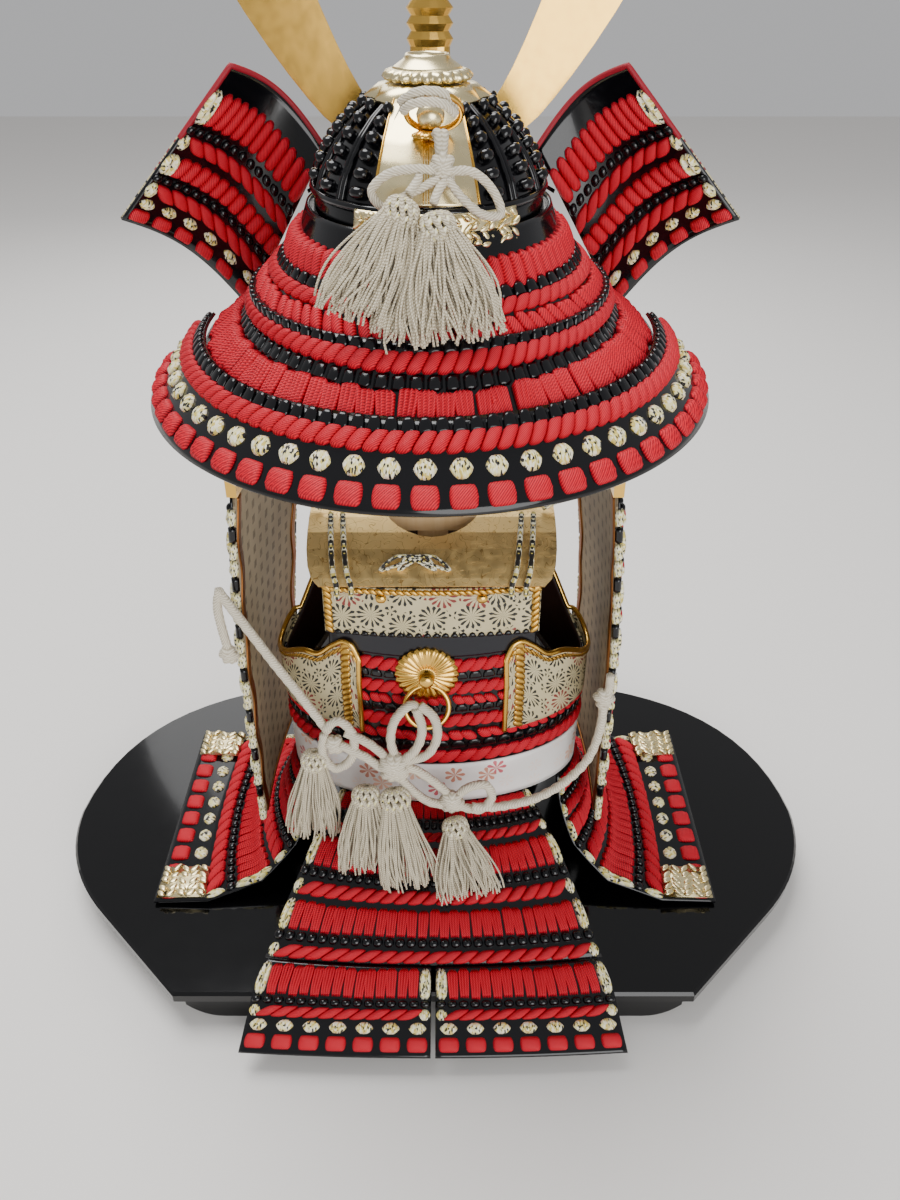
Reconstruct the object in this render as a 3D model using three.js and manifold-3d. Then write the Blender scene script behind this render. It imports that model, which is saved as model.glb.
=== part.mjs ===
// Half-scale display samurai armour on its lacquered board and inner display stand.
// Millimetres, +Z up. The wearer faces -Y, so the laced back of the armour faces +Y.
// The origin is on the ground under the centre of the board; X = 0 is the armour's mid plane.
import * as THREE from 'three';
import { mergeVertices } from 'three/addons/utils/BufferGeometryUtils.js';
import Module from 'manifold-3d';

const wasm = await Module();
wasm.setup();

// ---- driving dimensions -------------------------------------------------------------------
const SEAM_GAP = 0.3;
const WELD_DISTANCE = 1e-4;

const BOARD_THICKNESS = 8;
const FOOT_HEIGHT = 20;
const BOARD_TOP = FOOT_HEIGHT + BOARD_THICKNESS;
const BOARD_BACK_CORNER = { x: 142, y: 129 };
const BOARD_SHOULDER = { x: 195, y: 76 };
const BOARD_SHOULDER_PULL = { x: 232, y: 40 };
const BOARD_WIDEST = { x: 232, y: -5 };
const BOARD_FRONT_PULL = { x: 226, y: -100 };
const BOARD_FRONT_CORNER = { x: 130, y: -128 };
const BOARD_BEVEL = 1.5;
const FOOT_LENGTH = 60;
const FOOT_DEPTH = 14;
const FOOT_FLAT = 18;
const FOOT_SHOULDER = 0.55;
const FOOT_CURVE = 0.7;
const FOOT_PLACES = [
  { name: 'back_left', x: 108, y: 124 },
  { name: 'back_right', x: -108, y: 124 },
  { name: 'front_left', x: 118, y: -72 },
  { name: 'front_right', x: -118, y: -72 },
];

// Heights from here on are measured above the board's top face.
const WAIST_BOTTOM = 63;
const WAIST_TOP = 93;
const CUIRASS_SECTIONS = [
  { height: 63, halfWidth: 84.0, halfDepth: 46.0 },
  { height: 93, halfWidth: 84.5, halfDepth: 47.0 },
  { height: 120, halfWidth: 85.0, halfDepth: 48.5 },
  { height: 150, halfWidth: 85.0, halfDepth: 49.5 },
  { height: 184, halfWidth: 82.0, halfDepth: 48.5 },
  { height: 216, halfWidth: 80.0, halfDepth: 47.0 },
];
const CUIRASS_WALL = 2;
const CUIRASS_HALF_TURN = 91.8;
const BAND_WALL = 1.2;
const WAIST_BAND_OUT = 1;
// Top edge of the laced wall, by angle from the centre back.
const CUIRASS_TOP_EDGE = [
  { degrees: 0, height: 183 },
  { degrees: 38, height: 183 },
  { degrees: 50, height: 160 },
  { degrees: 70, height: 146 },
  { degrees: 90, height: 141 },
  { degrees: 112, height: 150 },
  { degrees: 132, height: 184 },
  { degrees: 142, height: 190 },
  { degrees: 180, height: 190 },
];
const SIDE_PLATE_BOTTOM = 117;
const SIDE_PLATE_TOP_EDGE = [
  { degrees: 26.5, height: 166 },
  { degrees: 29, height: 173 },
  { degrees: 32, height: 175 },
  { degrees: 37, height: 171 },
  { degrees: 44, height: 162.5 },
  { degrees: 52, height: 160.5 },
  { degrees: 70, height: 150 },
  { degrees: 90, height: 144 },
  { degrees: 112, height: 152 },
];
const SIDE_PLATE_WALL = 1.6;
const SIDE_PLATE_OUT = 2.2;
const BACK_PLATE_HALF_WIDTH = 54;
const BACK_PLATE_BOTTOM = 184;
const BACK_PLATE_TOP = 211.5;
const CHEST_PLATE_HALF_WIDTH = 46;
const UPRIGHT_PLATE_OUT = 2.2;
const UPRIGHT_PLATE_BOW = 5;
const CHEST_PLATE_BOTTOM = 191;
const CHEST_PLATE_TOP = 208.5;
const SHOULDER_HALF_WIDTH = 62;
const SHOULDER_WALL = 1.6;
const SHOULDER_END_TAPER = 7;
const SHOULDER_PROFILE = [
  { y: 49.5, height: 213.8 },
  { y: 43, height: 219 },
  { y: 30, height: 227 },
  { y: 12, height: 232 },
  { y: -8, height: 232 },
  { y: -28, height: 226 },
  { y: -42, height: 217 },
  { y: -49, height: 211 },
];
const NECK_HOLE = { y: -4, height: 225, halfWidth: 27, halfDepth: 31, cut: 60 };

const STAND_PROFILE = [
  { radius: 0, height: SEAM_GAP },
  { radius: 34, height: SEAM_GAP },
  { radius: 34, height: 5 },
  { radius: 31, height: 7 },
  { radius: 8, height: 9 },
  { radius: 8, height: 384 },
  { radius: 24, height: 392 },
  { radius: 30, height: 400 },
  { radius: 28, height: 408 },
  { radius: 20, height: 414 },
  { radius: 0, height: 418 },
];
const STAND_BAR = { width: 108, depth: 14, thickness: 8, y: 2, height: 225 };

const TASSET_WALL = 2;
// The back skirt is slit from this share of its length down to the hem.
const HEM_SPLIT = 0.655;
const HEM_SLIT = 0.012;
const HEM_GAP = 0.004;
const END_TASSET_TOP = { y: 46.2, height: WAIST_BOTTOM - SEAM_GAP };
const END_TASSET_HEM = { y: 158, height: -12.5 };
const END_TASSET_SAG = 1.5;
const END_TASSET_ROUND = 85;
const END_TASSET_HEM_BOW = 3;
const END_TASSET_HALF_WIDTHS = [
  { along: 0, halfWidth: 54 },
  { along: 0.25, halfWidth: 71 },
  { along: 0.5, halfWidth: 85 },
  { along: 0.75, halfWidth: 97 },
  { along: 1, halfWidth: 103 },
];
const SIDE_TASSET_ROUND = { at: 36, inward: 24, limit: 20 };
const SIDE_TASSET_PROFILE = [
  { along: 0, reach: 84.5, height: WAIST_BOTTOM - 1, back: 25, front: 25 },
  { along: 0.2, reach: 89, height: 45, back: 34, front: 34 },
  { along: 0.4, reach: 98, height: 28, back: 48, front: 48 },
  { along: 0.6, reach: 114, height: 12, back: 62, front: 62 },
  { along: 0.8, reach: 138, height: 4.5, back: 70, front: 70 },
  { along: 1, reach: 166, height: 3.2, back: 70, front: 74 },
];

const SODE = { bottom: 45, top: 258, back: 42, front: -60, wall: 2.2, bulge: 2.5, shift: 2.5 };
// Each guard's distance from the mid plane at its back and front edges; the left one is turned in.
const SODE_REACH = [
  { height: 45, back: 99, frontLeft: 93, frontRight: 95 },
  { height: 110, back: 98, frontLeft: 90, frontRight: 94.5 },
  { height: 170, back: 97, frontLeft: 84, frontRight: 92 },
  { height: 220, back: 94, frontLeft: 79, frontRight: 87 },
  { height: 258, back: 91, frontLeft: 75, frontRight: 83 },
];
const SODE_PLATE = { height: 10, wall: 5, out: 1.4 };
const SODE_TIE = { across: 0.42, below: 6, inside: 0.6, shoulderX: 56, along: 0.45, sag: 3 };

const BOWL_HALF_WIDTH = 48;
const BOWL_HALF_DEPTH = 55;
const BOWL_STRETCH = BOWL_HALF_DEPTH / BOWL_HALF_WIDTH;
const BOWL_WALL = 1.8;
const BOWL_PROFILE = [
  { height: 387, radius: 48 },
  { height: 395, radius: 45.2 },
  { height: 402, radius: 41 },
  { height: 409, radius: 35.5 },
  { height: 415, radius: 29 },
  { height: 420, radius: 21.5 },
  { height: 423, radius: 13.5 },
];
const BOWL_CROWN = 424;
const BOWL_PLATE = { bottom: 388.5, top: 421, wide: 20, taper: 8.5, out: 1.5, wall: 0.9 };
const BAND_FLARE = 2.2;
const BAND_THICKNESS = 1.6;
const ORNAMENT = { degrees: 31, turned: 3, spread: 4.4, lean: 1.6, bottom: 382, height: 3.6, wall: 1.2 };
const CROWN_PROFILE = [
  { radius: 8.6, height: 424.6 },
  { radius: 22, height: 424.6 },
  { radius: 22, height: 425.6 },
  { radius: 17, height: 426 },
  { radius: 17.4, height: 428.6 },
  { radius: 15, height: 430.2 },
  { radius: 13, height: 430.2 },
  { radius: 9.5, height: 433.4 },
  { radius: 8.4, height: 435.2 },
  { radius: 7, height: 435.2 },
  { radius: 7, height: 430 },
];
const HELMET_BOSS = { height: 411, out: 6.4, radius: 4.6 };
const HELMET_RING = { radius: 10.4, thick: 1.1, tilt: -30, inward: 2.6, up: 2.4 };
const BAND_BOTTOM = 371;
const BAND_TOP = 386.5;
// Spread of each neck-guard row beyond the bowl, how far round it runs from the back, how hollow
// its slope is at the sides, and its steps across and along.
const NECK_ROWS = [
  { topSpread: 4.2, top: 381, bottomSpread: 11.6, bottom: 360.5, degrees: 132, hollow: 0, steps: [28, 2] },
  { topSpread: 14.4, top: 362, bottomSpread: 27, bottom: 347, degrees: 127, hollow: 0, steps: [32, 2] },
  { topSpread: 29.8, top: 348.5, bottomSpread: 51, bottom: 326.6, degrees: 117, hollow: 1.3, steps: [36, 5] },
  { topSpread: 53.8, top: 328.5, bottomSpread: 80.5, bottom: 302, degrees: 95, hollow: 0, steps: [32, 2] },
];
const NECK_WALL = 2;
const WING_CORNERS = {
  innerTop: { x: 49, y: -47, height: 392 },
  outerTop: { x: 86, y: -36, height: 427 },
  outerBottom: { x: 141, y: -24, height: 366 },
  innerBottom: { x: 93, y: -50, height: 317 },
};
const WING_WALL = 2;
const WING_BOW = { forward: 5.6, up: 6 };
const VISOR = { spreadIn: 3.6, spreadOut: 26, top: 384, bottom: 372, degrees: 52, wall: 1.8 };

const HORN_PLANE = -66;
const HORN_WALL = 1.2;
const HORN_INNER_EDGE = [
  { x: 12, height: 398 },
  { x: 24, height: 404 },
  { x: 36, height: 420 },
  { x: 50, height: 450 },
  { x: 66, height: 492 },
  { x: 76, height: 536 },
];
const HORN_OUTER_EDGE = [
  { x: 118, height: 520 },
  { x: 106, height: 488 },
  { x: 86, height: 450 },
  { x: 62, height: 416 },
  { x: 42, height: 396 },
  { x: 16, height: 388 },
];
const HORN_NOTCH = { x: 97, height: 512 };
const HORN_SOCKET = { halfWidth: 30, bottom: 385.5, height: 22, drop: 10, wall: 1.4 };
const CREST_PLACE = { inFront: 5, height: 386, flatness: 0.45 };
const CREST_PROFILE = [
  { radius: 0, height: 0 },
  { radius: 9, height: 0 },
  { radius: 9, height: 46 },
  { radius: 10.5, height: 49 },
  { radius: 8.5, height: 52 },
  { radius: 10.5, height: 55 },
  { radius: 8.5, height: 58 },
  { radius: 10.5, height: 61 },
  { radius: 8, height: 64 },
  { radius: 5, height: 67 },
  { radius: 11, height: 86 },
  { radius: 6, height: 108 },
  { radius: 0, height: 124 },
];

const CORD_RADIUS = 2.5;
const HELMET_CORD_RADIUS = 1.65;
const TIE_RADIUS = 1.4;
const TIE_GAP = 0.5;
const TIE_STATIONS = [0.42, 0.3, 0.18, 0.08, 0.0];
const TIE_FOOT = { out: 1.6, down: 7 };
const TIE_LANES = [
  { name: 'left_outer', top: 51, bottom: 46 },
  { name: 'left_inner', top: 45, bottom: 39 },
  { name: 'right_inner', top: -45, bottom: -39 },
  { name: 'right_outer', top: -51, bottom: -46 },
];

// ---- small tools ----------------------------------------------------------------------------
const radians = (degrees) => degrees * Math.PI / 180;

function tableValue(rows, key, at, column) {
  const last = rows.length - 1;
  const ascending = rows[last][key] > rows[0][key];
  const side = ascending ? 1 : -1;
  if ((at - rows[0][key]) * side <= 0) return rows[0][column];
  for (let i = 1; i <= last; i += 1) {
    if ((at - rows[i][key]) * side <= 0) {
      const part = (at - rows[i - 1][key]) / (rows[i][key] - rows[i - 1][key]);
      return rows[i - 1][column] + part * (rows[i][column] - rows[i - 1][column]);
    }
  }
  return rows[last][column];
}

// A closed solid from vertex rows and faces, turned so that its faces point out.
function closedGeometry(vertices, triangles) {
  let volume = 0;
  for (const [a, b, c] of triangles) {
    volume += vertices[a].dot(vertices[b].clone().cross(vertices[c]));
  }
  const positions = [];
  for (const [a, b, c] of triangles) {
    const order = volume > 0 ? [a, b, c] : [a, c, b];
    order.forEach((index) => positions.push(...vertices[index].toArray()));
  }
  const geometry = new THREE.BufferGeometry();
  geometry.setAttribute('position', new THREE.Float32BufferAttribute(positions, 3));
  return mergeVertices(geometry, WELD_DISTANCE);
}

// A cloth wall: point(u, v) with u, v from 0 to 1 is its outer face, and the wall lies on the
// side that the thickness is measured towards.
function wallGeometry(point, acrossSteps, alongSteps, thickness, closedAcross = false) {
  const step = 1e-3;
  const columns = closedAcross ? acrossSteps : acrossSteps + 1;
  const rows = alongSteps + 1;
  const vertices = [];
  const normalAt = (u, v) => {
    const u0 = closedAcross ? u - step : Math.max(0, u - step);
    const u1 = closedAcross ? u + step : Math.min(1, u + step);
    const v0 = Math.max(0, v - step);
    const v1 = Math.min(1, v + step);
    const across = point(u1, v).sub(point(u0, v));
    const along = point(u, v1).sub(point(u, v0));
    return across.cross(along).normalize();
  };
  for (const layer of [0, 1]) {
    for (let j = 0; j < rows; j += 1) {
      for (let i = 0; i < columns; i += 1) {
        const u = i / acrossSteps;
        const v = j / alongSteps;
        const place = point(u, v);
        if (layer === 1) place.addScaledVector(normalAt(u, v), -thickness);
        vertices.push(place);
      }
    }
  }
  const layerSize = rows * columns;
  const at = (layer, i, j) => layer * layerSize + j * columns + (i % columns);
  const triangles = [];
  const quad = (a, b, c, d) => triangles.push([a, b, c], [a, c, d]);
  for (let j = 0; j < alongSteps; j += 1) {
    for (let i = 0; i < acrossSteps; i += 1) {
      quad(at(0, i, j), at(0, i + 1, j), at(0, i + 1, j + 1), at(0, i, j + 1));
      quad(at(1, i, j), at(1, i, j + 1), at(1, i + 1, j + 1), at(1, i + 1, j));
    }
  }
  for (let i = 0; i < acrossSteps; i += 1) {
    quad(at(0, i, 0), at(1, i, 0), at(1, i + 1, 0), at(0, i + 1, 0));
    quad(at(0, i, alongSteps), at(0, i + 1, alongSteps), at(1, i + 1, alongSteps), at(1, i, alongSteps));
  }
  if (!closedAcross) {
    for (let j = 0; j < alongSteps; j += 1) {
      quad(at(0, 0, j), at(0, 0, j + 1), at(1, 0, j + 1), at(1, 0, j));
      const end = acrossSteps;
      quad(at(0, end, j), at(1, end, j), at(1, end, j + 1), at(0, end, j + 1));
    }
  }
  return closedGeometry(vertices, triangles);
}

// A solid through elliptical rings, each with its own centre, half width and half thickness.
function ringSolid(rings, widthAxis, depthAxis, sides) {
  const vertices = [];
  rings.forEach((ring) => {
    for (let i = 0; i < sides; i += 1) {
      const turn = 2 * Math.PI * i / sides;
      vertices.push(ring.centre.clone()
        .addScaledVector(widthAxis, ring.halfWidth * Math.cos(turn))
        .addScaledVector(depthAxis, ring.halfDepth * Math.sin(turn)));
    }
  });
  const triangles = [];
  for (let r = 0; r < rings.length - 1; r += 1) {
    for (let i = 0; i < sides; i += 1) {
      const a = r * sides + i;
      const b = r * sides + (i + 1) % sides;
      triangles.push([a, b, b + sides], [a, b + sides, a + sides]);
    }
  }
  const first = vertices.push(rings[0].centre.clone()) - 1;
  const last = vertices.push(rings[rings.length - 1].centre.clone()) - 1;
  const base = (rings.length - 1) * sides;
  for (let i = 0; i < sides; i += 1) {
    const next = (i + 1) % sides;
    triangles.push([first, next, i], [last, base + i, base + next]);
  }
  return closedGeometry(vertices, triangles);
}

function tubeGeometry(points, radius, sides, steps, closed = false) {
  const section = new THREE.Shape();
  for (let i = 0; i < sides; i += 1) {
    const turn = 2 * Math.PI * i / sides;
    const move = i === 0 ? 'moveTo' : 'lineTo';
    section[move](radius * Math.cos(turn), radius * Math.sin(turn));
  }
  section.closePath();
  const path = new THREE.CatmullRomCurve3(points, closed, 'centripetal');
  return new THREE.ExtrudeGeometry(section, { steps, bevelEnabled: false, extrudePath: path });
}

function toManifold(geometry) {
  const bare = geometry.clone();
  bare.deleteAttribute('normal');
  bare.deleteAttribute('uv');
  const merged = mergeVertices(bare, WELD_DISTANCE);
  return new wasm.Manifold(new wasm.Mesh({
    numProp: 3,
    vertProperties: new Float32Array(merged.attributes.position.array),
    triVerts: new Uint32Array(merged.index.array),
  }));
}

function fromManifold(solid) {
  const mesh = solid.getMesh();
  const geometry = new THREE.BufferGeometry();
  geometry.setAttribute('position', new THREE.BufferAttribute(new Float32Array(mesh.vertProperties), 3));
  geometry.setIndex(new THREE.BufferAttribute(new Uint32Array(mesh.triVerts), 1));
  return geometry;
}

function union(geometries) {
  return fromManifold(geometries.map(toManifold).reduce((whole, piece) => whole.add(piece)));
}

function subtract(geometry, cutter) {
  return fromManifold(toManifold(geometry).subtract(toManifold(cutter)));
}

const above = (x, y, height) => new THREE.Vector3(x, y, BOARD_TOP + height);

// ---- finishes -------------------------------------------------------------------------------
const finish = (color, roughness, metalness) => () =>
  new THREE.MeshStandardMaterial({ color, roughness, metalness });
const redSilk = finish(0xb3202a, 0.75, 0);
const blackLacquer = finish(0x121214, 0.15, 0);
const gilt = finish(0xc9a24a, 0.3, 1);
const printedLeather = finish(0xe6dfcb, 0.6, 0);
const whiteBrocade = finish(0xe9e4dc, 0.7, 0);
const ivoryCord = finish(0xe4dcc8, 0.8, 0);
const paleWood = finish(0xcaa878, 0.6, 0);

const armour = new THREE.Group();

function addPiece(parent, name, geometry, makeMaterial) {
  const mesh = new THREE.Mesh(geometry, makeMaterial());
  mesh.name = name;
  parent.add(mesh);
  return mesh;
}

const SIDES = [{ name: 'left', side: 1 }, { name: 'right', side: -1 }];

// ---- board, feet and inner stand --------------------------------------------------------------
function addBoard(parent) {
  const outline = new THREE.Shape();
  const shoulder = BOARD_SHOULDER;
  const pull = BOARD_SHOULDER_PULL;
  const widest = BOARD_WIDEST;
  const frontPull = BOARD_FRONT_PULL;
  const front = BOARD_FRONT_CORNER;
  outline.moveTo(-front.x, front.y);
  outline.lineTo(front.x, front.y);
  outline.quadraticCurveTo(frontPull.x, frontPull.y, widest.x, widest.y);
  outline.quadraticCurveTo(pull.x, pull.y, shoulder.x, shoulder.y);
  outline.lineTo(BOARD_BACK_CORNER.x, BOARD_BACK_CORNER.y);
  outline.lineTo(-BOARD_BACK_CORNER.x, BOARD_BACK_CORNER.y);
  outline.lineTo(-shoulder.x, shoulder.y);
  outline.quadraticCurveTo(-pull.x, pull.y, -widest.x, widest.y);
  outline.quadraticCurveTo(-frontPull.x, frontPull.y, -front.x, front.y);
  const geometry = new THREE.ExtrudeGeometry(outline, {
    depth: BOARD_THICKNESS - 2 * BOARD_BEVEL,
    curveSegments: 12,
    bevelSize: BOARD_BEVEL,
    bevelOffset: -BOARD_BEVEL,
    bevelThickness: BOARD_BEVEL,
    bevelSegments: 1,
  });
  const board = addPiece(parent, 'lacquer_board', geometry, blackLacquer);
  board.position.z = BOARD_TOP - BOARD_THICKNESS + BOARD_BEVEL;
}

function addFeet(parent) {
  const profile = new THREE.Shape();
  const half = FOOT_LENGTH / 2;
  profile.moveTo(-half, FOOT_HEIGHT - SEAM_GAP);
  profile.lineTo(-half, FOOT_HEIGHT * FOOT_SHOULDER);
  profile.quadraticCurveTo(-half * FOOT_CURVE, 0, -FOOT_FLAT / 2, 0);
  profile.lineTo(FOOT_FLAT / 2, 0);
  profile.quadraticCurveTo(half * FOOT_CURVE, 0, half, FOOT_HEIGHT * FOOT_SHOULDER);
  profile.lineTo(half, FOOT_HEIGHT - SEAM_GAP);
  profile.closePath();
  FOOT_PLACES.forEach((place) => {
    const geometry = new THREE.ExtrudeGeometry(profile, {
      depth: FOOT_DEPTH, curveSegments: 6, bevelEnabled: false,
    });
    const foot = addPiece(parent, `board_foot_${place.name}`, geometry, blackLacquer);
    foot.rotation.x = Math.PI / 2;
    foot.position.set(place.x, place.y, 0);
  });
}

function addStand(parent) {
  const points = STAND_PROFILE.map((row) => new THREE.Vector2(row.radius, row.height));
  const post = new THREE.LatheGeometry(points, 24);
  post.rotateX(Math.PI / 2);
  post.translate(0, 0, BOARD_TOP);
  const bar = new THREE.BoxGeometry(STAND_BAR.width, STAND_BAR.depth, STAND_BAR.thickness);
  bar.translate(0, STAND_BAR.y, BOARD_TOP + STAND_BAR.height);
  addPiece(parent, 'display_stand', union([post, bar]), paleWood);
}

// ---- cuirass ------------------------------------------------------------------------------------
// A point on the cuirass at an angle from the centre back, moved out from the laced wall.
function cuirassPoint(degrees, height, out) {
  const halfWidth = tableValue(CUIRASS_SECTIONS, 'height', height, 'halfWidth') + out;
  const halfDepth = tableValue(CUIRASS_SECTIONS, 'height', height, 'halfDepth') + out;
  const turn = radians(degrees);
  return above(halfWidth * Math.sin(turn), halfDepth * Math.cos(turn), height);
}

function foldedAngle(degrees) {
  const whole = Math.abs(((degrees + 180) % 360 + 360) % 360 - 180);
  return whole;
}

function addCuirass(parent) {
  const bandHeight = WAIST_TOP - SEAM_GAP - WAIST_BOTTOM;
  const band = (u, v) => cuirassPoint(-360 * u, WAIST_BOTTOM + v * bandHeight, WAIST_BAND_OUT);
  addPiece(parent, 'waist_band', wallGeometry(band, 44, 1, BAND_WALL, true), whiteBrocade);

  const wall = (from, to) => (u, v) => {
    const degrees = to + u * (from - to);
    const top = tableValue(CUIRASS_TOP_EDGE, 'degrees', foldedAngle(degrees), 'height');
    return cuirassPoint(degrees, WAIST_TOP + v * (top - WAIST_TOP), 0);
  };
  const half = CUIRASS_HALF_TURN;
  addPiece(parent, 'cuirass_back', wallGeometry(wall(-half, half), 28, 4, CUIRASS_WALL), redSilk);
  const frontFrom = half + 0.4;
  const frontWall = wallGeometry(wall(frontFrom, 360 - frontFrom), 28, 4, CUIRASS_WALL);
  addPiece(parent, 'cuirass_front', frontWall, printedLeather);

  SIDES.forEach(({ name, side }) => {
    const edge = SIDE_PLATE_TOP_EDGE;
    const first = edge[0].degrees;
    const last = edge[edge.length - 1].degrees;
    const plate = (u, v) => {
      const degrees = first + (side > 0 ? 1 - u : u) * (last - first);
      const top = tableValue(edge, 'degrees', degrees, 'height');
      return cuirassPoint(side * degrees, SIDE_PLATE_BOTTOM + v * (top - SIDE_PLATE_BOTTOM), SIDE_PLATE_OUT);
    };
    addPiece(parent, `side_plate_${name}`, wallGeometry(plate, 24, 2, SIDE_PLATE_WALL), printedLeather);
  });

  // The upright plates over the laced wall are flatter than it: they bow by a few millimetres.
  const facing = (halfWidth, bottom, top, back) => (u, v) => {
    const height = bottom + v * (top - bottom);
    const x = (2 * u - 1) * halfWidth * -back;
    const deep = tableValue(CUIRASS_SECTIONS, 'height', height, 'halfDepth') + UPRIGHT_PLATE_OUT;
    return above(x, back * (deep - UPRIGHT_PLATE_BOW * (x / halfWidth) ** 2), height);
  };
  const backPlate = facing(BACK_PLATE_HALF_WIDTH, BACK_PLATE_BOTTOM, BACK_PLATE_TOP, 1);
  addPiece(parent, 'back_plate', wallGeometry(backPlate, 16, 2, SIDE_PLATE_WALL), printedLeather);
  const chestPlate = facing(CHEST_PLATE_HALF_WIDTH, CHEST_PLATE_BOTTOM, CHEST_PLATE_TOP, -1);
  addPiece(parent, 'chest_plate', wallGeometry(chestPlate, 14, 2, SIDE_PLATE_WALL), printedLeather);
}

function shoulderPoint(x, along, out) {
  const rows = SHOULDER_PROFILE;
  const curve = new THREE.SplineCurve(rows.map((row) => new THREE.Vector2(row.y, row.height)));
  const place = curve.getPoint(along);
  const tangent = curve.getTangent(along);
  return above(x, place.x + tangent.y * out, place.y - tangent.x * out);
}

function addShoulders(parent) {
  const plate = (u, v) => {
    const half = SHOULDER_HALF_WIDTH - SHOULDER_END_TAPER * (2 * v - 1) ** 4;
    return shoulderPoint((1 - 2 * u) * half, v, 0);
  };
  const whole = wallGeometry(plate, 4, 12, SHOULDER_WALL);
  const hole = new THREE.CylinderGeometry(1, 1, NECK_HOLE.cut, 28);
  hole.rotateX(Math.PI / 2);
  hole.scale(NECK_HOLE.halfWidth, NECK_HOLE.halfDepth, 1);
  hole.translate(0, NECK_HOLE.y, BOARD_TOP + NECK_HOLE.height);
  addPiece(parent, 'shoulder_plate', subtract(whole, hole), gilt);

  TIE_LANES.forEach((lane) => {
    const route = TIE_STATIONS.map((along, index) => {
      const part = index / (TIE_STATIONS.length - 1);
      return shoulderPoint(lane.top + part * (lane.bottom - lane.top), along, TIE_RADIUS + TIE_GAP);
    });
    const foot = route[route.length - 1].clone();
    foot.y += TIE_FOOT.out;
    foot.z -= TIE_FOOT.down;
    route.push(foot);
    addPiece(parent, `shoulder_tie_${lane.name}`, tubeGeometry(route, TIE_RADIUS, 8, 14), ivoryCord);
  });
}

// ---- ring on the back -----------------------------------------------------------------------
const BOSS_PLACE = { x: 3, height: 160, out: 0.5 };
const BOSS_PROFILE = [
  { radius: 0, out: 0.5 },
  { radius: 16.5, out: 0.5 },
  { radius: 16.5, out: 1.6 },
  { radius: 9, out: 3.6 },
  { radius: 4.2, out: 4.2 },
  { radius: 4.2, out: 9 },
  { radius: 3.2, out: 10 },
  { radius: 0, out: 10 },
];
const BACK_RING = { radius: 11.4, thick: 1.3, lean: 0.3, out: 7.4, below: 17 };

function addBackRing(parent) {
  const face = cuirassPoint(0, BOSS_PLACE.height, 0);
  const boss = new THREE.LatheGeometry(BOSS_PROFILE.map((row) => new THREE.Vector2(row.radius, row.out)), 24);
  boss.translate(0, face.y + BOSS_PLACE.out, 0);
  boss.translate(BOSS_PLACE.x, 0, BOARD_TOP + BOSS_PLACE.height);
  addPiece(parent, 'back_boss', boss, gilt);
  const ring = new THREE.TorusGeometry(BACK_RING.radius, BACK_RING.thick, 6, 24);
  ring.rotateX(Math.PI / 2 - BACK_RING.lean);
  ring.translate(BOSS_PLACE.x, face.y + BACK_RING.out, BOARD_TOP + BOSS_PLACE.height - BACK_RING.below);
  addPiece(parent, 'back_ring', ring, gilt);
}

// ---- tassets ----------------------------------------------------------------------------------
// The back and front skirts: v runs from the waist down to the hem.
function endTassetPoint(side, x, v) {
  const bend = (x / END_TASSET_ROUND) ** 2 * (1 - v);
  const topY = END_TASSET_TOP.y * Math.sqrt(Math.max(0, 1 - bend));
  const hemY = END_TASSET_HEM.y - END_TASSET_HEM_BOW * (x / 100) ** 2;
  const y = (1 - v) * topY + v * hemY;
  const sag = END_TASSET_SAG * Math.sin(Math.PI * v);
  const height = END_TASSET_TOP.height + v * (END_TASSET_HEM.height - END_TASSET_TOP.height) - sag;
  return above(x, side * y, height);
}

function addTassets(parent) {
  const skirt = (side, fromX, toX, from, to) => (u, v) => {
    const along = from + v * (to - from);
    const half = tableValue(END_TASSET_HALF_WIDTHS, 'along', along, 'halfWidth');
    const across = fromX + u * (toX - fromX);
    return endTassetPoint(side, across * half * side, along);
  };
  const wall = (point, across, along) => wallGeometry(point, across, along, TASSET_WALL);
  addPiece(parent, 'back_tasset', wall(skirt(1, -1, 1, 0, HEM_SPLIT), 14, 6), redSilk);
  const hem = HEM_SPLIT + HEM_GAP;
  addPiece(parent, 'back_tasset_hem_left', wall(skirt(1, HEM_SLIT, 1, hem, 1), 8, 4), redSilk);
  addPiece(parent, 'back_tasset_hem_right', wall(skirt(1, -1, -HEM_SLIT, hem, 1), 8, 4), redSilk);
  addPiece(parent, 'front_tasset', wall(skirt(-1, -1, 1, 0, 1), 12, 8), redSilk);

  SIDES.forEach(({ name, side }) => {
    const rows = SIDE_TASSET_PROFILE;
    const point = (u, v) => {
      const across = side > 0 ? u : 1 - u;
      const backEdge = tableValue(rows, 'along', v, 'back');
      const frontEdge = tableValue(rows, 'along', v, 'front');
      const y = backEdge - across * (backEdge + frontEdge);
      const reach = tableValue(rows, 'along', v, 'reach');
      const corner = SIDE_TASSET_ROUND;
      const round = Math.min(corner.limit, corner.inward * (1 - v) ** 2 * (y / corner.at) ** 2);
      return above(side * (reach - round), y, tableValue(rows, 'along', v, 'height'));
    };
    addPiece(parent, `side_tasset_${name}`, wall(point, 12, 10), redSilk);
  });
}

// ---- shoulder guards --------------------------------------------------------------------------
function sodePoint(side, u, height, out) {
  const back = tableValue(SODE_REACH, 'height', height, 'back');
  const front = tableValue(SODE_REACH, 'height', height, side > 0 ? 'frontLeft' : 'frontRight');
  const bulge = SODE.bulge * Math.sin(Math.PI * u);
  const y = SODE.back + u * (SODE.front - SODE.back);
  return above(SODE.shift + side * (back + u * (front - back) + bulge + out), y, height);
}

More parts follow.
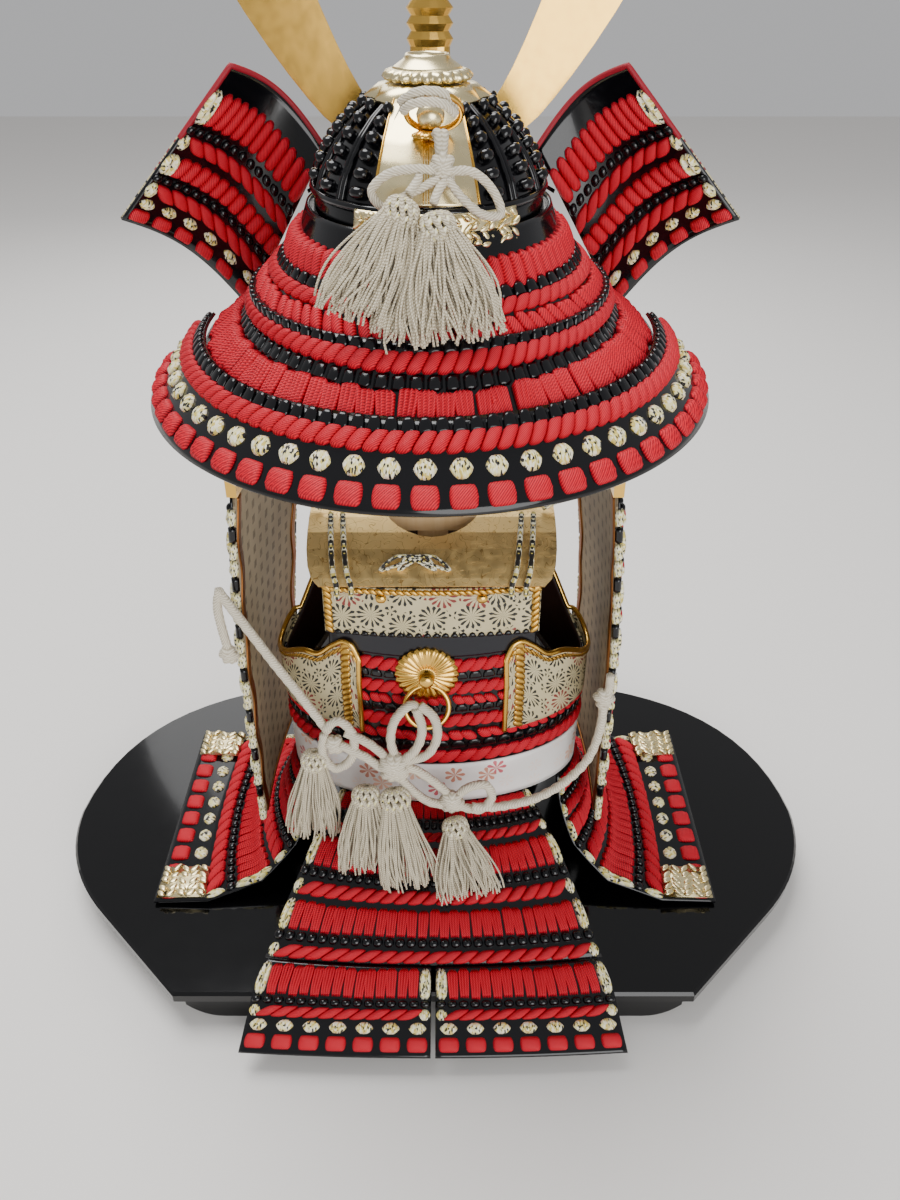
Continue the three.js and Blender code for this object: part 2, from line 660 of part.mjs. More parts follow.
function addShoulderGuards(parent) {
  SIDES.forEach(({ name, side }) => {
    const panel = (u, v) => {
      const across = side > 0 ? 1 - u : u;
      return sodePoint(side, across, SODE.bottom + v * (SODE.top - SODE.bottom), 0);
    };
    addPiece(parent, `shoulder_guard_${name}`, wallGeometry(panel, 6, 10, SODE.wall), redSilk);
    const plate = (u, v) => {
      const across = side > 0 ? 1 - u : u;
      const height = SODE.top + SEAM_GAP + v * SODE_PLATE.height;
      const place = sodePoint(side, across, SODE.top, SODE_PLATE.out);
      place.z = BOARD_TOP + height;
      return place;
    };
    addPiece(parent, `shoulder_guard_plate_${name}`, wallGeometry(plate, 8, 1, SODE_PLATE.wall), gilt);
    const inside = -SODE.wall - SODE_TIE.inside - TIE_RADIUS;
    const start = sodePoint(side, SODE_TIE.across, SODE.top - SODE_TIE.below, inside);
    const end = shoulderPoint(side * SODE_TIE.shoulderX, SODE_TIE.along, TIE_RADIUS + TIE_GAP);
    const middle = start.clone().lerp(end, 0.5);
    middle.z -= SODE_TIE.sag;
    const tie = tubeGeometry([start, middle, end], TIE_RADIUS, 8, 8);
    addPiece(parent, `shoulder_guard_tie_${name}`, tie, ivoryCord);
  });
}

// ---- helmet -----------------------------------------------------------------------------------
// A point round the helmet at an angle from the centre back, spread out from the bowl's rim.
function helmetPoint(degrees, spread, height) {
  const turn = radians(degrees);
  const wide = BOWL_HALF_WIDTH + spread;
  const deep = BOWL_HALF_DEPTH + spread;
  return above(wide * Math.sin(turn), deep * Math.cos(turn), height);
}

function bowlPoint(degrees, height, out) {
  const radius = tableValue(BOWL_PROFILE, 'height', height, 'radius') + out;
  const turn = radians(degrees);
  return above(radius * Math.sin(turn), radius * BOWL_STRETCH * Math.cos(turn), height + out * 0.5);
}

function addHelmetBowl(parent) {
  const outer = BOWL_PROFILE.map((row) => new THREE.Vector2(row.radius, row.height));
  outer.push(new THREE.Vector2(0, BOWL_CROWN));
  const inner = BOWL_PROFILE.map((row) => new THREE.Vector2(row.radius - BOWL_WALL, row.height - 0.4));
  inner[0].y = BOWL_PROFILE[0].height;
  inner.push(new THREE.Vector2(0, BOWL_CROWN - BOWL_WALL));
  const profile = [...inner.reverse(), ...outer];
  const bowl = new THREE.LatheGeometry(profile, 32);
  bowl.rotateX(Math.PI / 2);
  bowl.scale(1, BOWL_STRETCH, 1);
  bowl.translate(0, 0, BOARD_TOP);
  addPiece(parent, 'helmet_bowl', bowl, blackLacquer);

  const plate = (u, v) => {
    const height = BOWL_PLATE.bottom + v * (BOWL_PLATE.top - BOWL_PLATE.bottom);
    const radius = tableValue(BOWL_PROFILE, 'height', height, 'radius');
    const half = Math.asin((BOWL_PLATE.wide - BOWL_PLATE.taper * v) / radius) * 180 / Math.PI;
    return bowlPoint((1 - 2 * u) * half, height, BOWL_PLATE.out);
  };
  addPiece(parent, 'bowl_back_plate', wallGeometry(plate, 8, 7, BOWL_PLATE.wall), gilt);

  const band = (u, v) => {
    const flare = BAND_FLARE * (1 - v);
    return helmetPoint(-360 * u, flare, BAND_BOTTOM + v * (BAND_TOP - BAND_BOTTOM));
  };
  addPiece(parent, 'helmet_band', wallGeometry(band, 44, 1, BAND_THICKNESS, true), blackLacquer);

  const ornament = (u, v) => {
    const degrees = (1 - 2 * u) * ORNAMENT.degrees - ORNAMENT.turned;
    return helmetPoint(degrees, ORNAMENT.spread - v * ORNAMENT.lean, ORNAMENT.bottom + v * ORNAMENT.height);
  };
  addPiece(parent, 'band_ornament', wallGeometry(ornament, 12, 1, ORNAMENT.wall), gilt);
}

function addCrown(parent) {
  const closed = [...CROWN_PROFILE, CROWN_PROFILE[0]];
  const profile = closed.map((row) => new THREE.Vector2(row.radius, row.height));
  const crown = new THREE.LatheGeometry(profile, 24);
  crown.rotateX(Math.PI / 2);
  crown.translate(0, 0, BOARD_TOP);
  addPiece(parent, 'crown_ornament', crown, gilt);

  const bossPlace = bowlPoint(0, HELMET_BOSS.height, HELMET_BOSS.out);
  const boss = new THREE.SphereGeometry(HELMET_BOSS.radius, 14, 8);
  boss.translate(bossPlace.x, bossPlace.y, bossPlace.z);
  addPiece(parent, 'helmet_ring_boss', boss, gilt);
  const ring = new THREE.TorusGeometry(HELMET_RING.radius, HELMET_RING.thick, 6, 24);
  ring.rotateX(radians(HELMET_RING.tilt));
  ring.translate(bossPlace.x, bossPlace.y - HELMET_RING.inward, bossPlace.z + HELMET_RING.up);
  addPiece(parent, 'helmet_ring', ring, gilt);
}

function addNeckGuard(parent) {
  NECK_ROWS.forEach((row, index) => {
    const point = (u, v) => {
      const degrees = (2 * u - 1) * row.degrees;
      const power = 1 + row.hollow * Math.sin(radians(degrees)) ** 2;
      const spread = row.topSpread + (1 - v) ** power * (row.bottomSpread - row.topSpread);
      return helmetPoint(degrees, spread, row.bottom + v * (row.top - row.bottom));
    };
    const wall = wallGeometry(point, row.steps[0], row.steps[1], -NECK_WALL);
    addPiece(parent, `neck_guard_${index + 1}`, wall, redSilk);
  });

  const corner = (row, side) => above(side * row.x, row.y, row.height);
  SIDES.forEach(({ name, side }) => {
    const corners = WING_CORNERS;
    const point = (u, v) => {
      const across = side > 0 ? u : 1 - u;
      const top = corner(corners.innerTop, side).lerp(corner(corners.outerTop, side), across);
      const bottom = corner(corners.innerBottom, side).lerp(corner(corners.outerBottom, side), across);
      const place = top.lerp(bottom, v);
      place.y -= WING_BOW.forward * Math.sin(Math.PI * across);
      place.z += WING_BOW.up * Math.sin(Math.PI * across);
      return place;
    };
    addPiece(parent, `turned_back_wing_${name}`, wallGeometry(point, 8, 6, WING_WALL), redSilk);
  });

  const visor = (u, v) => helmetPoint(
    180 + (2 * u - 1) * VISOR.degrees,
    VISOR.spreadOut + v * (VISOR.spreadIn - VISOR.spreadOut),
    VISOR.bottom + v * (VISOR.top - VISOR.bottom),
  );
  addPiece(parent, 'visor', wallGeometry(visor, 20, 2, VISOR.wall), blackLacquer);
}

function addHorns(parent) {
  const outline = (side) => {
    const shape = new THREE.Shape();
    const onSide = (row) => new THREE.Vector2(side * row.x, row.height);
    const inner = new THREE.SplineCurve(HORN_INNER_EDGE.map(onSide));
    const outer = new THREE.SplineCurve(HORN_OUTER_EDGE.map(onSide));
    const points = [...inner.getPoints(14), onSide(HORN_NOTCH), ...outer.getPoints(14)];
    shape.setFromPoints(points);
    return shape;
  };
  SIDES.forEach(({ name, side }) => {
    const geometry = new THREE.ExtrudeGeometry(outline(side), { depth: HORN_WALL, bevelEnabled: false });
    geometry.rotateX(Math.PI / 2);
    geometry.translate(0, HORN_PLANE, BOARD_TOP);
    addPiece(parent, `horn_${name}`, geometry, gilt);
  });

  const base = (u, v) => {
    const across = 2 * u - 1;
    const height = HORN_SOCKET.bottom + v * (HORN_SOCKET.height - HORN_SOCKET.drop * across ** 2);
    const y = HORN_PLANE - HORN_WALL - SEAM_GAP - HORN_SOCKET.wall;
    return above(across * HORN_SOCKET.halfWidth, y, height);
  };
  addPiece(parent, 'horn_socket', wallGeometry(base, 10, 2, HORN_SOCKET.wall), gilt);

  const profile = CREST_PROFILE.map((row) => new THREE.Vector2(row.radius, row.height));
  const crest = new THREE.LatheGeometry(profile, 16);
  crest.rotateX(Math.PI / 2);
  crest.scale(1, CREST_PLACE.flatness, 1);
  crest.translate(0, HORN_PLANE + CREST_PLACE.inFront, BOARD_TOP + CREST_PLACE.height);
  addPiece(parent, 'front_crest', crest, gilt);
}

// ---- cords, bows and tassels --------------------------------------------------------------------
const points = (rows) => rows.map((row) => above(row[0], row[1], row[2]));

// How wide and deep a tassel is along its length; past its neck it spreads towards the tip.
const TASSEL_NECK = 0.34;
const TASSEL_ROWS = [
  { at: 0, wide: 0.55, deep: 0.6 },
  { at: 0.07, wide: 0.95, deep: 1 },
  { at: 0.22, wide: 1, deep: 1 },
  { at: TASSEL_NECK, wide: 0.85, deep: 0.9 },
  { at: 1, wide: 1, deep: 1 },
];

function tassel(head, tip, halfWidths, halfDepths) {
  const axis = tip.clone().sub(head);
  const depthAxis = new THREE.Vector3().crossVectors(new THREE.Vector3(1, 0, 0), axis).normalize();
  const across = new THREE.Vector3().crossVectors(axis, depthAxis).normalize();
  const rings = TASSEL_ROWS.map((row) => {
    const spread = Math.max(0, (row.at - TASSEL_NECK) / (1 - TASSEL_NECK));
    return {
      centre: head.clone().addScaledVector(axis, row.at),
      halfWidth: row.wide * (halfWidths[0] + spread * (halfWidths[1] - halfWidths[0])),
      halfDepth: row.deep * (halfDepths[0] + spread * (halfDepths[1] - halfDepths[0])),
    };
  });
  return ringSolid(rings, across, depthAxis, 12);
}

const LEFT_CORD_ROUTE = [
  [104, 49, 211], [98, 51.5, 202], [90, 53, 188], [80, 54.5, 170], [70, 56, 153], [61, 58, 138],
  [55, 59.5, 128],
];
const RIGHT_CORD_ROUTE = [
  [-90, 48, 140], [-90, 51, 130], [-88, 54, 118], [-84, 57, 107], [-76, 60.5, 97.5], [-66, 64, 90.5],
  [-54, 67.5, 86], [-42, 69.5, 84], [-32, 71, 83.5], [-21, 71.5, 84.5],
];
const BACK_BOW = {
  radius: CORD_RADIUS,
  steps: 16,
  loops: [
    [[4, 58.5, 139], [-4, 61, 136], [-9, 62.5, 127], [0, 64, 120], [8, 65, 116], [16, 66, 113]],
    [[8, 58.5, 139], [15, 61, 135], [20, 63, 126], [17, 65, 118], [13, 66, 113]],
    [[15, 66, 113], [30, 64, 116], [44, 62, 122], [54, 60, 125], [57, 61, 116], [50, 62, 108],
      [42, 63, 112], [30, 65, 110], [15, 67, 108]],
    [[15, 66, 112], [2, 66, 106], [-10, 66.5, 98], [-22, 66.5, 100], [-31, 66, 103], [-35, 67, 97],
      [-26, 68.5, 91], [-14, 68.5, 88], [-2, 68, 97], [15, 67, 106]],
  ],
  knots: [
    { radius: 6.4, place: [15, 66.5, 110.5] },
    { radius: 4.2, place: [51, 61.5, 121] },
    { radius: 4.2, place: [-14, 67.5, 89] },
  ],
};
const HELMET_BOW = {
  radius: HELMET_CORD_RADIUS,
  steps: 12,
  loops: [
    [[-6, 54, 410], [-7, 57, 407], [-7, 60, 403]],
    [[-7, 60, 403], [4, 60.5, 404], [14, 60, 402], [20, 59.5, 396], [16, 61, 391], [8, 63, 395],
      [-5, 62, 401]],
    [[-7, 60, 403], [-17, 60.5, 403], [-25, 58.5, 396], [-28, 58.5, 388], [-22, 61, 388],
      [-14, 63, 394], [-8, 62, 401]],
  ],
  knots: [{ radius: 3.6, place: [-7, 60.5, 402.5] }],
};
const BACK_TASSELS = [
  { name: 'left', head: [66, 62.5, 112], tip: [67, 70, 62], half: [7, 13], depth: [5, 4.4] },
  { name: 'middle', head: [21, 72.5, 99], tip: [9, 94.5, 46], half: [7.5, 14], depth: [5, 4] },
  { name: 'middle_left', head: [36, 70, 99], tip: [40, 88, 52], half: [6, 12], depth: [5, 4] },
  { name: 'right', head: [-14, 75, 82], tip: [-20, 98, 43], half: [6, 14], depth: [4.6, 3.8] },
];
const HELMET_TASSELS = [
  { name: 'left', head: [9, 68, 394], tip: [26, 90, 358], half: [5.5, 17], depth: [4, 3.6] },
  { name: 'right', head: [-6, 70.5, 388], tip: [-13, 94, 354], half: [5.5, 15], depth: [4, 3.6] },
];

function addBow(parent, name, bow) {
  const tubes = bow.loops.map((route) => tubeGeometry(points(route), bow.radius, 8, bow.steps));
  const knots = bow.knots.map((row) => {
    const knot = new THREE.SphereGeometry(row.radius, 12, 8);
    const place = above(...row.place);
    knot.translate(place.x, place.y, place.z);
    return knot;
  });
  addPiece(parent, name, union([...tubes, ...knots]), ivoryCord);
}

function addTassels(parent, where, rows) {
  rows.forEach((row) => {
    const [head, tip] = points([row.head, row.tip]);
    const geometry = tassel(head, tip, row.half, row.depth);
    addPiece(parent, `${where}_tassel_${row.name}`, geometry, ivoryCord);
  });
}

function addBows(parent) {
  addBow(parent, 'back_bow', BACK_BOW);
  addTassels(parent, 'back', BACK_TASSELS);
  addBow(parent, 'helmet_bow', HELMET_BOW);
  addTassels(parent, 'helmet', HELMET_TASSELS);
  const left = tubeGeometry(points(LEFT_CORD_ROUTE), CORD_RADIUS, 8, 14);
  addPiece(parent, 'guard_cord_left', left, ivoryCord);
  const right = tubeGeometry(points(RIGHT_CORD_ROUTE), CORD_RADIUS, 8, 18);
  addPiece(parent, 'guard_cord_right', right, ivoryCord);
}

addBoard(armour);
addFeet(armour);
addStand(armour);
addCuirass(armour);
addShoulders(armour);
addBackRing(armour);
addTassets(armour);
addShoulderGuards(armour);
addHelmetBowl(armour);
addCrown(armour);
addNeckGuard(armour);
addHorns(armour);
addBows(armour);

export default armour;
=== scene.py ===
# %% [markdown]
# # Samurai armour on a display stand
# A half-scale set of laced armour: helmet, cuirass, shoulder guards and skirts on a lacquered
# board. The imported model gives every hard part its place, and this lesson dresses it: silk
# lacing, lacquered scales, braids, bows, tassels and the finishes of metal, leather and lacquer.

import math
from functools import partial

import bpy
import numpy as np
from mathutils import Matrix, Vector


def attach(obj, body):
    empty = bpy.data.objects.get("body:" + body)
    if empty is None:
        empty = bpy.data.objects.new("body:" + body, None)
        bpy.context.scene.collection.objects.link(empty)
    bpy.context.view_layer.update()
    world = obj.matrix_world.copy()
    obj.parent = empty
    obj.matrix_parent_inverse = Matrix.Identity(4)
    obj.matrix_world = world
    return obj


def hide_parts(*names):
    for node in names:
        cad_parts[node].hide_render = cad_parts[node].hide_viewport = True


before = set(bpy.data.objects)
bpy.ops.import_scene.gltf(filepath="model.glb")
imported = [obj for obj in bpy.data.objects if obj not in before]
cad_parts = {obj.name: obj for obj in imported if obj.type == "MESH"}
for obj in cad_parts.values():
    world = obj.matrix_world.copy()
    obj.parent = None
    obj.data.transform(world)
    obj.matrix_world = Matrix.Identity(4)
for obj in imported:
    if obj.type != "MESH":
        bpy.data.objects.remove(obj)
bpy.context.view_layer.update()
MM = 0.001
BOARD_TOP = 28.0
SIDES = (("left", 1.0), ("right", -1.0))

# %% [markdown]
# The camera stands behind the armour, a little above the helmet, and looks down at it with a
# short lens, so the neck guard spreads wide in the view.

# %% Camera
CAMERA_PLACE = (-0.009, 0.440, 0.505)
CAMERA_DOWN = 34.8
CAMERA_LENS = 29.16
camera_data = bpy.data.cameras.new("camera")
camera_data.lens = CAMERA_LENS
camera_data.sensor_width = 36.0
camera = bpy.data.objects.new("camera", camera_data)
camera.location = CAMERA_PLACE
camera.rotation_euler = (math.radians(90 - CAMERA_DOWN), 0, math.pi)
bpy.context.scene.collection.objects.link(camera)
bpy.context.scene.camera = camera
print("camera lens in mm", camera_data.lens)

# %% [markdown]
# Every material is a small node tree. One function adds a node with its settings and links, and
# one turns an sRGB hex colour to linear. Patterns that follow the cloth read the attribute
# "cloth", which each piece carries: millimetres across, millimetres along, and the item's number.

# %% Helpers for nodes and colours


def srgb(hex_colour):
    """An sRGB hex colour as the linear colour that a shader takes."""
    parts = [int(hex_colour[i:i + 2], 16) / 255 for i in (0, 2, 4)]
    linear = [p / 12.92 if p <= 0.04045 else ((p + 0.055) / 1.055) ** 2.4 for p in parts]
    return (*linear, 1.0)


def fill(socket, value):
    """Links an input to an output, or to a node's first one, or gives it a value or a hex colour."""
    if isinstance(value, bpy.types.Node):
        value = next(output for output in value.outputs if output.enabled)
    if isinstance(value, bpy.types.NodeSocket):
        socket.id_data.links.new(value, socket)
    else:
        socket.default_value = srgb(value) if socket.type == "RGBA" else value


def add(tree, kind, *terms, inputs=None, stops=(), **settings):
    """Adds a node: terms fill its inputs in order, None skips one, stops step a colour ramp."""
    node = tree.nodes.new(kind if "Node" in kind else "ShaderNode" + kind)
    for name, value in settings.items():
        setattr(node, name, value)
    used = [socket for socket in node.inputs if socket.enabled]
    for number, value in enumerate(terms):
        if value is not None:
            fill(used[number], value)
    for name, value in (inputs or {}).items():
        fill(node.inputs[name], value)
    if stops:
        node.color_ramp.interpolation = "CONSTANT"
        elements = node.color_ramp.elements
        while len(elements) < len(stops):
            elements.new(0.5)
        for element, (place, colour) in zip(elements, stops):
            element.position = place
            element.color = srgb(colour)
    return node


def new_material(name, colour, roughness, **uniform):
    """A Principled material with its uniform values on the shader's own sockets."""
    material = bpy.data.materials.new(name)
    material.use_nodes = True
    tree = material.node_tree
    shader = next(n for n in tree.nodes if n.type == "BSDF_PRINCIPLED")
    for key, value in dict(Base_Color=colour, Roughness=roughness, **uniform).items():
        fill(shader.inputs[key.replace("_", " ")], value)
    return material, partial(add, tree), shader


def finish(node, shader, colour=None, roughness=None, height=None, relief_mm=0.0):
    """Gives the shader its patterns: a colour, a roughness, and a height raised by so much."""
    if colour is not None:
        fill(shader.inputs["Base Color"], colour)
    if roughness is not None:
        fill(shader.inputs["Roughness"], roughness)
    fill(shader.inputs["Normal"], node("Bump", 1.0, relief_mm * MM, None, height))


def lump_scale(size_mm):
    """The texture scale that makes lumps of a size on the whole object."""
    return 1 / (size_mm * MM)


NOISE_DETAIL = 3.0
print("colour check", [round(v, 3) for v in srgb("808080")])

# %% [markdown]
# The lacing is flat braided silk cord, dyed scarlet. Its plaiting shows as a fine diagonal twill,
# and silk has a soft sheen towards grazing light, so sheen sits over a fairly rough base. The same
# braid in ivory makes the bows, and a white, gold and black one is the flecked edging braid.

# %% Silk materials
FADING_SIZE = 9.0
FRESH_SHARE = 0.72


def braided_silk(name, colour, dark, twill_mm, relief_mm, sheen):
    """Plaited silk with a diagonal twill of the given pitch, drawn coarse enough to show; its grooves are
    painted darker as shade.
    """
    material, node, shader = new_material(
        name, colour, 0.62, Sheen_Weight=sheen, Sheen_Roughness=0.45, Sheen_Tint=colour,
        Specular_IOR_Level=0.35)
    across, along, _ = node(
        "SeparateXYZ", node("Attribute", attribute_name="cloth").outputs["Vector"]).outputs
    total = node("Math", across, along, operation="ADD")
    phase = node("Math", total, 2 * math.pi / twill_mm, operation="MULTIPLY")
    wave = node("Math", phase, operation="SINE")
    height = node("Math", wave, 0.5, 0.5, operation="MULTIPLY_ADD")
    # The twill's grooves are painted towards the dark colour: painted shade between the strands.
    grooves = node("Mix", height, dark, colour, data_type="RGBA")
    place = node("TexCoord").outputs["Object"]
    # The same dark colour also darkens random patches, as uneven fading of the silk.
    fading = node("TexNoise", place, lump_scale(FADING_SIZE), NOISE_DETAIL)
    faded = node("Mix", fading, dark, grooves, data_type="RGBA")
    uneven = node("Mix", FRESH_SHARE, faded, grooves, data_type="RGBA")
    finish(node, shader, uneven, height=height, relief_mm=relief_mm)
    return material


# Each silk's dark colour is both the painted shade in its twill grooves and the colour of its faded patches.
RED_SILK = braided_silk(
    "scarlet_braided_silk", "e6062a", dark="900418", twill_mm=1.2, relief_mm=0.14, sheen=0.04)
IVORY_CORD = braided_silk(
    "ivory_braided_cord", "e6dfcd", dark="b8ac94", twill_mm=1.6, relief_mm=0.16, sheen=0.2)
IVORY_FLOSS = braided_silk(
    "ivory_twisted_floss", "e2d9c2", dark="a2957a", twill_mm=1.2, relief_mm=0.12, sheen=0.2)


def flecked_silk(name, black_share):
    """Edging braid plaited from black, white and old gold strands, stitches of 0.7 by 1.3 mm."""
    material, node, shader = new_material(name, "e6dfae", 0.6, Sheen_Weight=0.3, Sheen_Roughness=0.4)
    cloth = node("Attribute", attribute_name="cloth").outputs["Vector"]
    slanted = node("Mapping", cloth, None, (0, 0, 0.7), (1.5, 0.75, 1.0))
    cells = node("TexVoronoi", slanted, 1.0, voronoi_dimensions="3D")
    strand = node("SeparateColor", cells.outputs["Color"])
    colour = node("ValToRGB", strand, stops=(
        (0.0, "15120e"), (black_share, "efe9cc"), (black_share + 0.3, "cdb95a"),
        (black_share + 0.5, "e4dc9c")))
    edge = node("Math", cells.outputs["Distance"], 1.0, operation="SUBTRACT")
    finish(node, shader, colour, height=edge, relief_mm=0.2)
    return material


FLECKED_SILK = flecked_silk("flecked_braided_silk", black_share=0.19)
DARK_FLECKED_SILK = flecked_silk("dark_flecked_braided_silk", black_share=0.48)


def flower_cells(node, place, size_mm, petals, scatter):
    """Flower heads so far apart: each one's chance, the distance from its middle and a petal wave."""
    scaled = node("VectorMath", place, 1 / size_mm, operation="SCALE")
    cells = node("TexVoronoi", scaled, 1.0, inputs={"Randomness": scatter}, voronoi_dimensions="2D")
    offset = node("VectorMath", scaled, cells.outputs["Position"], operation="SUBTRACT")
    x, y, _ = node("SeparateXYZ", offset).outputs
    angle = node("Math", y, x, operation="ARCTAN2")
    turns = node("Math", angle, petals, operation="MULTIPLY")
    chance = node("SeparateColor", cells.outputs["Color"])
    return chance, cells.outputs["Distance"], node("Math", turns, operation="COSINE")


def figured_satin():
    """White satin with scattered peach and rose flower heads, each about 11 mm across."""
    material, node, shader = new_material(
        "white_figured_satin", "efece8", 0.38, Sheen_Weight=0.5, Sheen_Roughness=0.3)
    cloth = node("Attribute", attribute_name="cloth").outputs["Vector"]
    chance, distance, wave = flower_cells(node, cloth, size_mm=17.0, petals=7.0, scatter=0.8)
    edge = node("Math", wave, 0.05, 0.30, operation="MULTIPLY_ADD")
    inside = node("Math", distance, edge, operation="LESS_THAN")
    hue = node("ValToRGB", chance, stops=(
        (0.0, "c9606a"), (0.16, "eec0a4"), (0.45, "efece8"), (0.84, "cf8f78")))
    petal = node("Math", wave, -0.2, operation="GREATER_THAN")
    printed = node("Mix", petal, "f2e6dc", hue, data_type="RGBA")
    along = node("SeparateXYZ", cloth).outputs[1]
    threads = node("Math", along, 2 * math.pi / 0.9, operation="MULTIPLY")
    finish(node, shader, node("Mix", inside, "efece8", printed, data_type="RGBA"),
           height=node("Math", threads, operation="SINE"), relief_mm=0.03)
    return material


WHITE_SATIN = figured_satin()
print("silks", *(m.name for m in (RED_SILK, IVORY_CORD, IVORY_FLOSS, FLECKED_SILK, WHITE_SATIN)))

# %% [markdown]
# The hard finishes: black urushi lacquer is a thick clear gloss over soot black, gilding is a thin
# gold plate on stamped brass, and the leathers are smoked deerskin printed through stencils. Their
# gloss comes from roughness and a clear coat, and their unevenness from noise at real sizes.

# %% Lacquer, gilt, leather and wood materials


def lacquer(name, colour, roughness, relief_mm=0.02):
    """Urushi lacquer: a dark ground under a clear coat that ripples a little where it was brushed."""
    material, node, shader = new_material(
        name, colour, roughness, Coat_Weight=0.25, Coat_Roughness=0.04, Specular_IOR_Level=0.3)
    place = node("TexCoord").outputs["Object"]
    cloudy = node("TexNoise", place, lump_scale(14.0), NOISE_DETAIL)
    finish(node, shader, roughness=node("MapRange", cloudy, None, None, roughness * 0.7, roughness * 1.5),
           height=node("TexNoise", place, lump_scale(6.0), NOISE_DETAIL), relief_mm=relief_mm)
    return material


BLACK_LACQUER = lacquer("black_urushi_lacquer", "07070a", 0.13)
BOARD_LACQUER = lacquer("black_board_lacquer", "050506", 0.08, relief_mm=0.01)
NAVY_LACQUER = lacquer("blue_black_lacquered_leather", "0c0d16", 0.3)
CHASED_RINGS = 34.0


def gilt(name, colour, roughness, chased_mm=None):
    """Gold plate on stamped brass; with a size, chased with lines that wander at that size."""
    material, node, shader = new_material(name, colour, roughness, Metallic=1.0)
    place = node("TexCoord").outputs["Object"]
    worn = node("TexNoise", place, lump_scale(5.0), NOISE_DETAIL)
    dulled = node("MapRange", worn, None, None, roughness * 0.75, roughness * 1.5)
    if chased_mm is None:
        finish(node, shader, roughness=dulled, height=worn, relief_mm=0.02)
        return material
    wander = node("TexNoise", place, lump_scale(chased_mm * 3), 2.0)
    rings = node("Math", wander, CHASED_RINGS, operation="MULTIPLY")
    lines = node("Math", node("Math", rings, operation="SINE"), operation="ABSOLUTE")
    grooves = node("MapRange", lines, 0.0, 0.2)
    finish(node, shader, node("Mix", grooves, "b5853a", colour, data_type="RGBA"), dulled, grooves, 0.04)
    return material


GILT = gilt("gold_plated_brass", "dfb257", 0.20)
PALE_GILT = gilt("pale_gold_plated_brass", "ecdcab", 0.24)
# The chased gilt is the plate's own gold, made paler and brighter than the other gilts as painted light,
# since the shoulder plate lies in shade under the helmet.
CHASED_GILT = gilt("chased_gold_plated_brass", "f9d893", 0.44, chased_mm=3.6)
GOLD_WIRE = gilt("twisted_gold_wire", "c59c4c", 0.30)
COPPER = gilt("dark_copper_edging", "8a5a32", 0.36)


def stencilled_leather():
    """Smoked deerskin, stencilled with flower heads of thin strokes and small leaves between them."""
    material, node, shader = new_material("stencilled_deerskin", "c6b991", 0.62, Specular_IOR_Level=0.3)
    cloth = node("Attribute", attribute_name="cloth").outputs["Vector"]
    waver = node("TexNoise", cloth, 0.35).outputs["Color"]
    shaken = node("VectorMath", waver, (1.4, 1.4, 0.0), cloth, operation="MULTIPLY_ADD")

    def strokes(size_mm, count, shift, reach):
        moved = node("VectorMath", shaken, (shift, shift, 0.0), operation="ADD")
        chance, distance, wave = flower_cells(node, moved, size_mm, count, scatter=0.45)
        opening = node("MapRange", distance, reach * 0.35, reach * 0.8, 0.9, -0.2)
        closing = node("MapRange", distance, reach * 0.84, reach, -0.2, 1.05)
        width = node("Math", opening, closing, operation="MAXIMUM")
        outside = node("Math", distance, reach * 1.1, operation="GREATER_THAN")
        return chance, outside, node("Math", wave, width, operation="GREATER_THAN")

    chance, between, flowers = strokes(size_mm=16.0, count=13.0, shift=0.0, reach=0.46)
    leaves = node("Math", strokes(size_mm=9.0, count=5.0, shift=41.3, reach=0.36)[2], between,
                  operation="MULTIPLY")
    ink = node("Math", flowers, leaves, operation="MAXIMUM")
    dye = node("ValToRGB", chance, stops=((0.0, "2b2a26"), (0.74, "7d3634")))
    place = node("TexCoord").outputs["Object"]
    patches = node("TexNoise", place, lump_scale(18.0), NOISE_DETAIL)
    smoked = node("Mix", patches, "b3a57c", "ccc19d", data_type="RGBA")
    finish(node, shader, node("Mix", ink, smoked, dye, data_type="RGBA"),
           height=node("TexNoise", place, lump_scale(1.2), NOISE_DETAIL), relief_mm=0.05)
    return material


STENCILLED_LEATHER = stencilled_leather()


def dashed_lining():
    """Pale doeskin lining with rows of small printed dashes, 11 mm apart and 9 mm down."""
    material, node, shader = new_material("printed_doeskin_lining", "d8d0c4", 0.7, Specular_IOR_Level=0.25)
    across, along, _ = node(
        "SeparateXYZ", node("Attribute", attribute_name="cloth").outputs["Vector"]).outputs
    marks = []
    for value, pitch, share in ((across, 11.0, 0.40), (along, 9.0, 0.52)):
        cells = node("Math", value, 1 / pitch, operation="MULTIPLY")
        part = node("Math", cells, operation="FRACT")
        marks.append(node("Math", part, share, operation="LESS_THAN"))
    dash = node("Math", *marks, operation="MULTIPLY")
    place = node("TexCoord").outputs["Object"]
    smudges = node("TexNoise", place, lump_scale(2.0), NOISE_DETAIL)
    smudged = node("Math", dash, smudges, operation="MULTIPLY")
    patches = node("TexNoise", place, lump_scale(25.0), NOISE_DETAIL)
    ground = node("Mix", patches, "7f6f59", "a8997d", data_type="RGBA")
    finish(node, shader, node("Mix", smudged, ground, "3a2c22", data_type="RGBA"),
           height=node("TexNoise", place, lump_scale(1.5), NOISE_DETAIL), relief_mm=0.04)
    return material


DASHED_LINING = dashed_lining()


def plain_leather(name, colour, roughness):
    """Dyed leather with a fine grain, 1.3 mm from lump to lump."""
    material, node, shader = new_material(name, colour, roughness, Specular_IOR_Level=0.35)
    place = node("TexCoord").outputs["Object"]
    finish(node, shader, height=node("TexNoise", place, lump_scale(1.3), NOISE_DETAIL), relief_mm=0.06)
    return material


CRIMSON_LEATHER = plain_leather("crimson_backing_leather", "8e1626", 0.55)
BROWN_LEATHER = plain_leather("dark_smoked_leather", "2a1712", 0.5)


